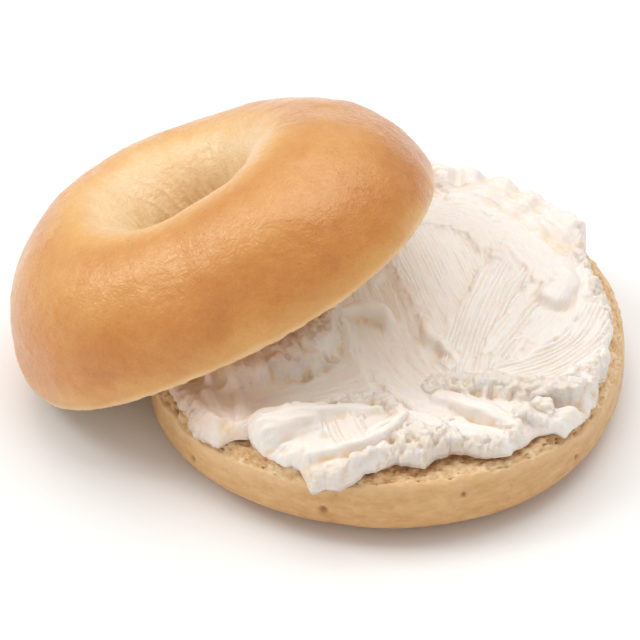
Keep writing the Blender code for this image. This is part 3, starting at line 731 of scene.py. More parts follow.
def lay_middle(c):
    """The bank round the back and right, and the broad combed strokes over the middle."""
    c.h = c.h + 0.6 * rough(c.x, c.y, 17.0, 3) + 0.3 * rough(c.x, c.y, 7.0, 5)
    # bank round the back
    c.roll(
        [(-22, 46), (-4, 49), (8, 50.5), (15, 50), (22, 48.5), (28, 45), (34, 40), (38.5, 35), (42, 30)],
        [9.5, 10, 10.5, 10, 8.5, 7], [8.8, 9.8, 10.6, 10.2, 9.8, 9.0], foot=5.6, lumps=0.25, seed=11,
        torn=0.05, round_=1.0,
    )
    for path, half, depth in (
        ([(16.5, 51.5), (15.6, 46), (15, 42.0)], 2.6, 2.4),
        ([(23.6, 49.8), (22.4, 43.5)], 2.4, 2.2),
        ([(2.4, 51), (2.8, 44.0)], 2.2, 1.6),
        ([(31, 45), (28.6, 39)], 2.2, 2.0),
        ([(36.5, 38.5), (33.2, 33.5)], 1.8, 1.6),
        ([(9.5, 50), (10.4, 43)], 1.6, 1.2),
    ):
        c.crease(path, half, depth, seed=15)
    c.roll(
        [(39, 32.5), (42.4, 30), (46, 28.8)], [3.4, 3.2, 1.8], [9.0, 10.4, 11.0], foot=5.0, lumps=0.4,
        seed=12, skew=-0.2, torn=0.2, round_=0.8,
    )
    c.heap((46.0, 28.8), (2.4, 2.0), 11.9, power=1.2)
    c.roll(
        [(45.5, 26.6), (47.4, 23.6), (46.6, 19.6)], [3.2, 3.6, 2.8], [8.8, 9.0, 7.6], foot=4.5,
        lumps=0.4, seed=13, torn=0.2, round_=0.8,
    )
    c.crease([(41.0, 27.6), (44.4, 27.0), (48.4, 26.6)], 1.0, 1.7, seed=16)
    c.roll(
        [(42, 17.5), (45.5, 12), (47, 4), (47.5, -4), (46.5, -12), (45.5, -20)], [4.4, 3.8, 3.8, 4.2],
        [8.0, 7.0, 6.6, 6.4], foot=3.6, lumps=0.8, seed=14, torn=0.55,
    )
    c.crags(
        [(43.5, 20), (46.5, 11), (47.5, 2), (47.5, -6), (46.5, -14), (45.5, -22)], [3.2, 4.2, 4.0, 4.0],
        1.0, scale=3.2, seed=18,
    )
    c.roll(
        [(41.5, 20.0), (46.5, 17.4), (50.4, 15.6)], [1.2, 1.4, 0.9], [7.6, 7.4, 5.4], lumps=0.2, seed=17,
        torn=0.3,
    )
    # smooth plateau, and the strokes in it
    c.smear(
        [(6, 40), (18, 36), (27, 28), (31, 18), (31.5, 8)], [4.5, 5.2, 6.0, 7.0], [7.2, 7.4, 7.2, 6.9],
        hollow=0.2, tilt=0.15, ragged=0.8, seed=21, comb=1.5, groove=0.03, soft=3.4,
    )
    c.smear(
        [(-8, 44), (1, 40), (8, 26), (14, 6), (17, -4)], [11, 11, 10.5, 9], [6.4, 6.2, 5.6, 5.2],
        hollow=0.3, lip=0.22, tilt=-0.6, ragged=0.9, comb=0.95, groove=0.16, seed=22, soft=2.6,
    )
    c.smear(
        [(4, 38), (14, 35), (21, 30), (23.5, 23)], [4.5, 4.5, 3.5], [6.7, 6.8, 6.8], hollow=0.2, lip=0.2,
        ragged=0.9, comb=1.0, groove=0.13, seed=23, soft=2.0,
    )
    c.smear(
        [(27, 15), (22.5, 4), (18.5, -8), (15.5, -21)], [5.2, 6.4, 7.0, 6.6], [6.8, 6.4, 6.0, 5.6],
        hollow=0.2, lip=0.38, tilt=0.2, ragged=1.0, comb=1.15, groove=0.32, seed=24, fan=0.35, soft=1.4,
    )
    c.smear(
        [(35.5, 6), (30.5, -2), (26, -10), (22, -17)], [4.4, 4.6, 4.2], [7.1, 6.8, 6.3], hollow=0.2,
        lip=0.42, tilt=-0.3, ragged=1.0, comb=1.3, groove=0.44, seed=25, soft=1.1,
    )
    c.smear(
        [(42, 14), (39.5, 3), (36, -6), (31, -13)], [4.2, 4.4, 3.8], [7.2, 6.9, 6.6], hollow=0.4,
        tilt=0.1, seed=26, soft=1.8,
    )
    c.smear(
        [(47.5, -1), (44.5, -9), (38.5, -16), (31.5, -21), (24, -24)], [4.4, 5.4, 5.4, 4.2],
        [6.6, 6.3, 6.1, 6.2], hollow=0.5, lip=0.5, tilt=0.2, ragged=1.1, comb=1.15, groove=0.46, seed=27,
        fan=-0.2, soft=1.1,
    )
    # the broad button that a stroke ends in
    c.roll(
        [(33, 22), (37.5, 13), (38.2, 7), (36, 1.8)], [4.2, 4.4, 4.2, 4.0], [7.3, 8.2, 9.3, 9.6],
        foot=6.0, seed=28, round_=0.42, streaks=0.08,
    )
    c.smear([(30, 24), (34, 15), (35.5, 9)], [4.2, 3.4], [7.3, 7.8, 8.5], hollow=0.3, ragged=0.3, seed=29)
    c.crease([(31.6, 4.6), (33.4, 0.2), (37.0, -1.6), (40.8, 0.6), (42.2, 4.4)], 1.1, 1.3, seed=32)
    c.crease([(34.4, 9.0), (36.6, 5.4), (38.6, 6.6)], 0.7, 0.5, seed=33)
    # small torn specks that the knife left
    for centre, reach in (((21, 22.5), 0.8), ((23.5, 20), 1.0), ((26, 17.8), 0.7), ((28, 25), 0.5)):
        c.heap(centre, (reach, reach * 0.7), 7.35, torn=0.25)


def lay_trough(c):
    """The mound that the upper half is pressed into, and the deep knife stroke beside it."""
    foot_of_mound = [
        (-40, -33), (-31, -30), (-22, -25.6), (-15, -21), (-11.5, -13), (-10, -4), (-9, 8), (-12, 24),
        (-20, 36),
    ]
    s, d, long, past = walk(c.x, c.y, foot_of_mound)
    d = np.where(past > 0, -np.hypot(d, past), d)
    rise = 5.2 * step(0.0, 4.5, d + 0.7 * rough(c.x, c.y, 3.0, 401)) + 0.28 * np.maximum(d, 0)
    streaks = rough(s * long, d * 0.15, 1.1, 403) + 0.6 * rough(s * long, d * 0.3, 0.55, 405)
    wall = 4.4 + rise
    c.fine = np.where(d > -0.5, 0.5 * streaks * step(0.0, 1.5, d), c.fine)
    c.h = np.where(d > -0.5, np.maximum(wall, np.minimum(c.h, wall + 0.5)), c.h)
    c.comb_depth = np.where(d > 0, 0.0, c.comb_depth)
    c.smear(
        [(-31, -33), (-22, -29.5), (-13, -25.5), (-6, -24)], [3.2, 4.0, 3.4], [4.3, 4.4, 4.2],
        hollow=-0.2, tilt=0.2, ragged=0.5, seed=41,
    )
    c.crags([(-27, -24.5), (-20, -23), (-13.5, -19)], [2.2, 3.0, 2.2], 1.0, seed=42)
    c.crags(
        [(-31, -21), (-23, -17.5), (-16, -12), (-11.5, -4)], [2.6, 3.6, 3.2, 1.8], 0.75, scale=2.6,
        seed=47,
    )
    c.smear(
        [(-6, 10), (-3, -2), (-0.5, -12), (3.5, -22), (8, -29)], [7.6, 8.0, 8.2, 7.0],
        [4.6, 4.2, 3.8, 4.2, 5.0], hollow=1.5, lip=0.3, seed=43, soft=1.4,
    )
    c.roll(
        [(-11.6, -5), (-10.8, -11), (-9.8, -17), (-8.2, -23), (-6.6, -27.5)], [1.6, 2.2, 2.2, 1.4],
        [7.6, 6.5, 5.6, 5.0, 4.4], foot=3.8, seed=44, skew=0.3, round_=0.8,
    )
    # torn flap at the trough's right side
    c.pit((9.2, -15.0), (3.2, 2.6), 1.6)
    c.roll(
        [(6.6, -4), (7.6, -9.5), (10.4, -12.6), (12.8, -16.2), (13.5, -19)], [1.5, 1.7, 1.6, 1.0],
        [6.4, 6.8, 6.6, 6.2], foot=4.4, lumps=0.5, seed=45, skew=0.35,
    )
    # curl under the rim of the upper half, and the teeth that it left
    c.roll(
        [(-12, -2.5), (-7.5, -0.6), (-3.6, -1.4), (-1.2, -3.4)], [1.7, 2.0, 1.5], [8.2, 8.6, 7.4],
        foot=4.6, lumps=0.2, seed=46,
    )


def lay_front_right(c):
    """The craggy ridge, the sheet below it and the lumps along the front right edge."""
    c.roll(
        [(9, -26.5), (15, -26.3), (22, -27.0), (29, -28.6), (36, -29.0), (44.5, -28.6)],
        [3.4, 3.8, 4.2, 3.6, 2.8], [5.6, 6.6, 7.6, 7.9, 6.8], foot=3.6, lumps=0.7, seed=51, skew=0.15,
        torn=0.8,
    )
    c.crags(
        [(10, -26.6), (16, -27.0), (23, -27.8), (30, -28.8), (37, -29.2), (44, -28.4)],
        [3.0, 4.6, 4.6, 3.2], 0.95, scale=3.6, seed=58,
    )
    c.smear(
        [(24, -40.5), (31, -38.2), (38, -35.0), (44, -30.5)], [3.8, 4.6, 4.4, 2.8], [4.6, 4.3, 3.9, 3.2],
        hollow=-0.1, lip=0.25, tilt=1.1, ragged=0.5, seed=52, soft=0.5,
    )
    c.crease([(32, -32.6), (36, -31.6), (41, -31.0), (46, -31.6)], 1.7, 5.0, seed=53)
    c.roll(
        [(9.0, -30.8), (14, -33.4), (19.5, -36.6), (25.5, -39.8)], [2.2, 2.9, 2.9, 1.8],
        [6.2, 7.2, 7.4, 6.2], foot=4.2, seed=54, skew=0.25,
    )
    c.smear(
        [(0, -38.5), (9, -41.2), (17, -43.0), (24, -43.6)], [2.8, 2.8, 2.4, 2.0], [6.2, 5.9, 5.8, 5.2],
        hollow=-0.3, lip=0.3, tilt=0.5, ragged=0.7, seed=55, soft=0.5,
    )
    c.crease([(11.6, -34.9), (16.6, -38.2), (22, -41.0), (25.4, -41.8)], 0.8, 1.8, seed=56)
    for centre, reach, top in (
        ((27.0, -36.2), (2.6, 2.2), 7.3),
        ((31.0, -33.6), (2.6, 2.0), 7.2),
        ((25.2, -42.2), (2.4, 1.8), 5.4),
        ((29.4, -38.0), (2.0, 1.6), 5.8),
    ):
        c.heap(centre, reach, top, power=2.4, foot=3.4, torn=0.6)
    # bubbly lump with craters, and smaller lumps
    c.heap((4.6, -46.4), (6.4, 6.0), 7.2, power=2.6, foot=2.4, torn=0.7)
    c.heap((12.8, -46.4), (4.6, 3.2), 5.4, power=2.6, foot=2.0, torn=0.6)
    c.heap((17.2, -46.0), (3.4, 3.0), 5.2, power=2.6, foot=2.0, torn=0.6)
    c.heap((21.6, -47.6), (3.7, 3.2), 5.6, power=4.0, foot=1.5, turn=0.5, torn=0.3)
    c.heap((-0.4, -49.2), (3.6, 3.6), 5.0, power=2.4, foot=1.5, torn=0.4)
    c.crags(
        [(-1, -48), (5, -47.5), (11, -46.5), (20, -46)], [4.0, 4.6, 3.2, 3.0], 0.55, scale=2.0, seed=57,
    )
    for centre, reach, depth in (
        ((2.5, -46.2), (1.5, 1.5), 1.6),
        ((7.3, -46.2), (1.3, 1.4), 1.5),
        ((5.6, -50.0), (1.1, 0.9), 1.6),
        ((14.6, -46.6), (1.0, 0.9), 0.9),
    ):
        c.pit(centre, reach, depth, power=2.6)


def lay_front_left(c):
    """The rolled fold with its pocket, the ribbon below it and the lobes at the left."""
    c.smear(
        [(-44, -30), (-38, -36), (-32, -41)], [6.5, 6.0, 5.0], [5.6, 5.2, 4.6], hollow=-0.3, tilt=0.3,
        ragged=0.5, seed=61,
    )
    c.heap((-42.2, -40.4), (5.8, 6.2), 6.2, power=2.4, foot=1.5)
    c.heap((-52.2, -26.5), (3.2, 3.4), 4.4, power=2.4, foot=1.0, torn=0.2)
    c.heap((-49.6, -27.8), (3.2, 3.4), 5.2, power=2.2, foot=1.0, torn=0.2)
    c.heap((-47.4, -31.4), (3.6, 3.4), 5.0, power=2.2, foot=1.2, torn=0.2)
    c.roll(
        [(-36.5, -22), (-35.4, -29), (-34.4, -36), (-33.4, -42)], [2.4, 2.6, 2.6, 2.0],
        [8.6, 7.0, 6.0, 4.6], foot=3.2, seed=62, skew=0.3,
    )
    c.roll(
        [(-41.5, -29.5), (-38.8, -34.5), (-36.4, -40.5), (-34.2, -44.5)], [2.2, 2.4, 2.4, 1.8],
        [6.8, 6.0, 5.0, 3.8], seed=63, skew=-0.2,
    )
    c.crease([(-38.6, -37.5), (-37.6, -41.5), (-36.8, -45)], 1.3, 1.8, seed=64)
    c.heap((-37.0, -28.6), (1.8, 1.4), 7.4, foot=4.5, turn=0.6)
    # shelf under the rolled fold, and the ribbon twisting up to the right
    c.smear(
        [(-33.5, -47), (-27, -50.4), (-18, -51.6), (-8, -49)], [4.2, 4.6, 5.2, 4.4],
        [3.6, 3.6, 3.8, 4.6], hollow=-0.5, tilt=-0.3, ragged=0.4, seed=65, soft=0.5,
    )
    c.roll(
        [(-33.4, -45.8), (-30.4, -49.2), (-26.0, -51.4), (-22.0, -52.2)], [2.0, 2.2, 2.2, 1.6],
        [4.6, 5.0, 5.0, 4.2], foot=1.6, seed=66, streaks=0.36,
    )
    c.roll(
        [(-24.5, -53.0), (-18.5, -54.0), (-12.0, -53.2), (-7.0, -50.6), (-3.2, -46.8)],
        [2.4, 3.0, 2.8, 2.4], [3.6, 4.6, 5.6, 6.4, 6.4], foot=1.2, lumps=0.2, seed=67, streaks=0.4,
    )
    c.roll(
        [(-26.2, -51.4), (-21.2, -49.0), (-14.0, -47.8), (-7.2, -46.6), (-2.4, -42.8), (0.9, -38.6)],
        [1.8, 2.8, 3.1, 3.2, 3.0, 2.2], [5.0, 6.2, 7.0, 7.8, 8.4, 7.6], foot=2.0, lumps=0.2, seed=68,
        skew=0.2, streaks=0.42,
    )
    # the rolled fold itself and the thin one behind its pocket
    c.roll(
        [(-17.6, -33.2), (-11.6, -32.2), (-5.2, -32.0), (-0.8, -34.8), (1.2, -38.6)],
        [2.0, 2.0, 2.0, 1.9], [6.6, 7.2, 7.2, 6.8, 6.8], foot=3.8, lumps=0.35, seed=69, streaks=0.36,
        torn=0.2,
    )
    c.roll(
        [(-28.6, -40.8), (-25.0, -40.4), (-20.0, -38.4), (-14.0, -36.2), (-8.4, -35.2), (-4.0, -35.2)],
        [5.2, 5.2, 4.2, 2.7, 1.8, 1.2], [9.2, 9.6, 8.8, 7.4, 6.5, 6.2], foot=2.4, seed=70,
    )
    c.crease(
        [(-32.8, -43.6), (-29.5, -45.6), (-25.2, -45.4), (-21.0, -42.2), (-15.5, -39.6), (-11.0, -38.4)],
        0.8, 1.5, seed=72,
    )
    # the pocket between them, drawn in short strokes across it
    c.smear(
        [(-12.6, -39.6), (-11.8, -42.2), (-10.6, -45.4)], [4.2, 4.8, 4.6], [5.7, 5.3, 6.3], hollow=0.3,
        lip=0.25, tilt=0.2, ragged=0.9, seed=73, comb=1.2, groove=0.42, soft=0.8, end=0.4,
    )
    c.pit((-15.6, -43.6), (1.6, 1.1), 1.1)
    c.crags(
        [(-24, -52.6), (-18, -53.6), (-12, -52.8), (-6, -49.6)], [1.6, 2.4, 2.2, 1.6], 0.45, scale=2.0,
        seed=77,
    )
    c.crags(
        [(-24, -37.4), (-15, -34.6), (-7, -33.0), (0, -34.6)], [1.2, 1.7, 1.9, 1.6], 0.5, scale=2.0,
        seed=78,
    )
    c.crags([(-53, -26), (-48, -31), (-45, -38), (-38, -44.6)], [1.8, 2.6, 2.4, 1.8], 0.4, seed=79)
    c.crease([(-23.0, -51.6), (-16.0, -50.6), (-9.0, -49.2), (-4.4, -46.4)], 0.7, 1.0, seed=74)
    c.crease([(-20.0, -48.2), (-14.0, -46.6), (-8.0, -45.4)], 0.5, 0.55, seed=75)
    c.crease([(-27.6, -37.8), (-22.4, -36.8), (-16.6, -34.8), (-10.0, -33.6)], 0.6, 0.8, seed=76)


# Outline of the spread seen from above: the angle in degrees, and how far it reaches there
SPREAD_EDGE = [
    (-155, 56.2), (-147, 56.0), (-140, 57.6), (-134, 56.6), (-129, 52.6), (-123, 54.0), (-113, 54.8),
    (-109, 56.9), (-103.5, 56.2), (-98, 53.0), (-90, 48.6), (-84.5, 50.4), (-76, 46.6), (-66, 51.2),
    (-62, 51.6), (-54, 49.6), (-46, 52.4), (-38, 52.8), (-26, 50.6), (-14, 49.4), (0, 49.4), (9, 49.0),
    (15, 48.2), (24, 48.8), (29, 51.2), (33, 54.4), (40, 54.6), (52, 54.4), (64, 55.4), (82, 54.6),
    (100, 52.5), (122, 50.0), (142, 47.0), (165, 45.0), (186, 46.0), (199, 53.0),
]

# How craggy that edge is: the angle in degrees, and a share
EDGE_CRAGS = [
    (-150, 0.6), (-125, 0.45), (-112, 0.5), (-100, 0.7), (-75, 0.7), (-58, 0.2), (-42, 0.15),
    (-28, 0.8), (10, 0.8), (26, 0.7), (42, 0.35), (90, 0.3), (150, 0.1),
]

EDGE_STEPS = 2880
EDGE_RADIUS = 52  # about how far out the edge lies
GRID_CENTRE = (10.0, -12.0)  # where the grid is densest
LEAST_HEIGHT = 0.9

# How crisp the strokes stay, as a share: everywhere, and more at the front and where the cheese is torn
CRISP = 0.35
CRISPER_AT_FRONT = 0.42
CRISPER_WHERE_TORN = 0.4

# How craggy smooth and torn cheese is, and how high the smaller crags stand beside the large ones
SMOOTH_CRAGS = 0.10
TORN_CRAGS = 0.75
MIDDLE_CRAG_HEIGHT = 0.30
FINE_CRAG_HEIGHT = 0.22

# How far folds bulge for each millimetre that they stand above what lies round them, and the limits of it
BULGE_SHARE = 0.45
MOST_DENT = -0.2
MOST_BULGE = 0.9

# Rings that close the spread beneath: the sides as (share of the height kept, how far in), then the flat
# ring under the edge, and those in the hole as (radius, drop)
SIDE_RINGS = [(0.5, 0.25), (0.0, 1.3)]
FLAT_INSET = 2.0
HOLE_RINGS = [(PLUG_RADIUS, 0.0), (PLUG_RADIUS * 0.5, PLUG_SAG)]


def spread_reach(angle):
    """How far from the middle the spread reaches at an angle, before its edge is roughened."""
    around = sorted(((a + 360) % 360, r) for a, r in SPREAD_EDGE)
    degrees = np.array([a for a, _ in around])
    radii = np.array([r for _, r in around])
    return np.interp(np.degrees(angle) % 360, degrees, radii, period=360)


def blurred(values, reach):
    """A grid of values smoothed over a reach in cells."""
    kernel = np.exp(-0.5 * (np.arange(-3 * reach, 3 * reach + 1) / reach) ** 2)
    kernel /= kernel.sum()
    padded = np.pad(values, 3 * reach, mode="edge")
    rows = np.apply_along_axis(lambda line: np.convolve(line, kernel, "valid"), 0, padded)
    return np.apply_along_axis(lambda line: np.convolve(line, kernel, "valid"), 1, rows)


def ray_angle(u, v):
    """The angle at which each place of a square grid lies once its squares are drawn out to rings."""
    with np.errstate(divide="ignore", invalid="ignore"):
        return np.where(
            np.abs(u) >= np.abs(v),
            np.pi / 4 * np.nan_to_num(v / u) + np.where(u < 0, np.pi, 0.0),
            np.pi / 2 - np.pi / 4 * np.nan_to_num(u / v) + np.where(v < 0, np.pi, 0.0),
        )


def run_to_edge(turn):
    """How far it is from the grid's centre to the ragged edge, along rays at these angles."""
    around = np.linspace(-np.pi, np.pi, EDGE_STEPS, endpoint=False)
    reach = spread_reach(around) + 0.5 * rough(around * EDGE_RADIUS, around * 0, 2.6, 501)
    reach += 0.12 * rough(around * EDGE_RADIUS, around * 0, 1.1, 503)
    edge_x = reach * np.cos(around) - GRID_CENTRE[0]
    edge_y = reach * np.sin(around) - GRID_CENTRE[1]
    ray = np.unwrap(np.arctan2(edge_y, edge_x)) % FULL_TURN
    sort = np.argsort(ray)
    return np.interp(turn % FULL_TURN, ray[sort], np.hypot(edge_x, edge_y)[sort], period=FULL_TURN)


def worked_height(cheese, size):
    """The strokes' height with the cheese's own softness, grain and grooves, kept under the upper half."""
    x, y = cheese.x, cheese.y
    grid_h = cheese.h.reshape(size, size)
    front = step(-20.0, -32.0, y).reshape(size, size)
    torn = np.clip(blurred(cheese.torn.reshape(size, size), 2), 0, 1)
    sharp = (CRISP + CRISPER_AT_FRONT * front + CRISPER_WHERE_TORN * torn).ravel()
    softened = blurred(grid_h, 2).ravel()
    crisp = blurred(grid_h, 1).ravel()
    h = softened + sharp * (crisp - softened) + cheese.fine
    h = h + cheese.torn * (0.20 * rougher(x, y, 1.3, 511) - 0.12 * np.abs(rough(x, y, 1.9, 517)))
    h = h + 0.05 * rougher(x, y, 2.4, 521) + 0.02 * rough(x, y, 0.8, 523)
    groove = 0.5 - 0.5 * np.cos(FULL_TURN * cheese.comb)
    h = h - cheese.comb_depth * groove**1.4
    h = np.minimum(h, lid_height(x, y) - LOWER_CUT_Z - PRESSED_GAP)
    return np.maximum(h, LEAST_HEIGHT)


def top_normals(x, y, h, size):
    """Unit normals of the spread's top, all of them upwards."""
    grids = (x.reshape(size, size), y.reshape(size, size), blurred(h.reshape(size, size), 2))
    along_row = np.stack([np.gradient(grid, axis=1) for grid in grids], -1)
    along_column = np.stack([np.gradient(grid, axis=0) for grid in grids], -1)
    normal = np.cross(along_row, along_column).reshape(-1, 3)
    normal /= np.maximum(np.linalg.norm(normal, axis=1, keepdims=True), 1e-9)
    return normal * np.where(normal[:, 2:] < 0, -1, 1)


def crag_push(place, normal, angle, inwards, torn, height):
    """How torn cheese and the edge stand out, in every direction."""
    near_edge = step(4.5, 0.5, inwards)
    ragged_edge = np.interp(np.degrees(angle), *np.array(EDGE_CRAGS).T, period=360)
    craggy = np.clip(SMOOTH_CRAGS + TORN_CRAGS * torn + ragged_edge * near_edge, 0, 1)
    outwards = np.stack([np.cos(angle), np.sin(angle), 0 * angle], axis=1)
    push = normal + [0, 0, 1e-6] + outwards * (near_edge * 0.9)[:, None]
    push /= np.linalg.norm(push, axis=1, keepdims=True)
    amount = height * (0.55 - np.abs(rougher3(place, 2.7, 541)))
    amount = amount + MIDDLE_CRAG_HEIGHT * (0.5 - np.abs(rough3(place, 1.3, 549)))
    amount = amount + FINE_CRAG_HEIGHT * rough3(place, 0.8, 547)
    return push * (craggy * amount)[:, None]


def next_ring(form, edges):
    """Draws out a new ring of vertices from the open edges, and gives it with its own open edges."""
    made = bmesh.ops.extrude_edge_only(form, edges=edges)["geom"]
    ring = [g for g in made if isinstance(g, bmesh.types.BMVert)]
    return ring, [g for g in made if isinstance(g, bmesh.types.BMEdge) and g.is_boundary]


def rim_at(vert):
    """How far from the middle the cut face starts to fall away, in this vertex's direction."""
    angle = math.atan2(vert.co.y, vert.co.x)
    return SHOULDER_RADIUS * float(uneven(np.array([angle]), LOWER_WAVES)[0])


def close_beneath(form):
    """Takes the spread's edge down, in under the cheese and into the hole, and closes it there."""
    edges = [edge for edge in form.edges if edge.is_boundary]
    for height_kept, inset in SIDE_RINGS:
        ring, edges = next_ring(form, edges)
        for vert in ring:
            away, rim = vert.co.xy.length, rim_at(vert)
            vert.co.xy = vert.co.xy * ((away - inset) / away)
            foot = SPREAD_BASE - max(away - inset - rim, 0)
            vert.co.z = foot + (vert.co.z - foot) * height_kept
    ring, edges = next_ring(form, edges)
    for vert in ring:
        away, rim = vert.co.xy.length, rim_at(vert)
        vert.co.xy = vert.co.xy * (min(away - FLAT_INSET, rim - 1.0) / away)
        vert.co.z = SPREAD_BASE
    for radius, drop in HOLE_RINGS:
        ring, edges = next_ring(form, edges)
        for vert in ring:
            vert.co.xy = vert.co.xy * (radius / vert.co.xy.length)
            vert.co.z = SPREAD_BASE - drop
    bmesh.ops.contextual_create(form, geom=edges)


def within_strokes(cheese, size):
    """1 within a stroke and 0 where two strokes meet, so that their streaks don't break off sharply."""
    drawn_as = cheese.stroke[:, 2].reshape(size, size)
    changed = np.zeros((size, size))
    changed[1:] += drawn_as[1:] != drawn_as[:-1]
    changed[:, 1:] += drawn_as[:, 1:] != drawn_as[:, :-1]
    return 1 - np.clip(5 * blurred(changed, 1), 0, 1).ravel()


def build_spread(sizes):
    """The soft cheese: a grid drawn out to its ragged edge, with rounded sides and an underside."""
    size = SPREAD_CELLS + 1
    form = bmesh.new()
    bmesh.ops.create_grid(form, x_segments=SPREAD_CELLS, y_segments=SPREAD_CELLS, size=1.0)
    form.verts.ensure_lookup_table()
    flat = np.array([vert.co[:2] for vert in form.verts])
    order = np.lexsort((flat[:, 0].round(6), flat[:, 1].round(6)))
    u, v = flat[order, 0], flat[order, 1]
    share = np.maximum(np.abs(u), np.abs(v))
    turn = ray_angle(u, v)
    run = run_to_edge(turn)
    x = GRID_CENTRE[0] + share * run * np.cos(turn)
    y = GRID_CENTRE[1] + share * run * np.sin(turn)

    cheese = Spread(x, y, sizes.spread_level / MM)
    for lay in (lay_middle, lay_trough, lay_front_right, lay_front_left):
        lay(cheese)
    h = worked_height(cheese, size)
    inwards = (1 - share) * run
    rounding = np.clip(0.62 * h, 0.8, 3.0)
    edge = 0.34 + 0.66 * np.sqrt(np.clip(1 - (1 - np.clip(inwards / rounding, 0, 1)) ** 2, 0, 1))
    radius, angle = np.hypot(x, y), np.arctan2(y, x)
    hang = np.maximum(radius - SHOULDER_RADIUS * uneven(angle, LOWER_WAVES), 0)
    z = SPREAD_BASE + (h - 0.3) * edge - hang
    # full folds bulge over what lies below them
    grid_h = h.reshape(size, size)
    normal = top_normals(x, y, h, size)
    above = (grid_h - blurred(grid_h, 9)).ravel()
    bulge = np.clip(BULGE_SHARE * above, MOST_DENT, MOST_BULGE) * step(0.0, 3.0, inwards)
    place = np.stack([x + normal[:, 0] * bulge, y + normal[:, 1] * bulge, z], axis=1)
    place = place + crag_push(place, normal, angle, inwards, cheese.torn, sizes.crag_height / MM)

    places = np.empty((len(order), 3))
    places[order] = place
    for vert, co in zip(form.verts, places):
        vert.co = co
    close_beneath(form)
    mesh = bpy.data.meshes.new("cream_cheese_spread")
    form.to_mesh(mesh)
    form.free()
    piece = bpy.data.objects.new("cream_cheese_spread", mesh)
    bpy.context.scene.collection.objects.link(piece)
    points = np.empty(len(mesh.vertices) * 3)
    mesh.vertices.foreach_get("co", points)
    write_points(piece, points.reshape(-1, 3))

    # what the material reads, with 0 on the rings beneath
    # painted shade: cheese close under the upper half, and by its rim at the left, is tinted brown where
    # the upper half shades it
    covered = under_lid(cheese.x, cheese.y)
    in_shade = step(20.0, 1.0, lid_height(cheese.x, cheese.y) - place[:, 2]) * step(4.0, 18.0, covered)
    painted_shade_by_rim = 0.46 * step(-6.0, 6.0, covered) * step(-20.0, -36.0, cheese.x)
    for name, values in (
        ("comb", cheese.comb),
        ("comb_depth", cheese.comb_depth),
        ("torn", cheese.torn),
        ("calm", within_strokes(cheese, size)),
        # painted shade in the clefts, from how far each place lies below its surroundings
        ("hollow", np.clip(-1.2 * (grid_h - blurred(grid_h, 3)).ravel() - 0.12, 0, 1)),
        ("painted_lid_shade", np.maximum(in_shade, painted_shade_by_rim)),
    ):
        stored = np.zeros(len(mesh.vertices))
        stored[order] = values
        set_attribute(piece, name, stored)
    drawn = np.zeros((len(mesh.vertices), 3), np.float32)
    drawn[order] = cheese.stroke
    piece.data.attributes.new("stroke", "FLOAT_VECTOR", "POINT").data.foreach_set("vector", drawn.ravel())
    face_outwards(piece)
    return piece


# Materials


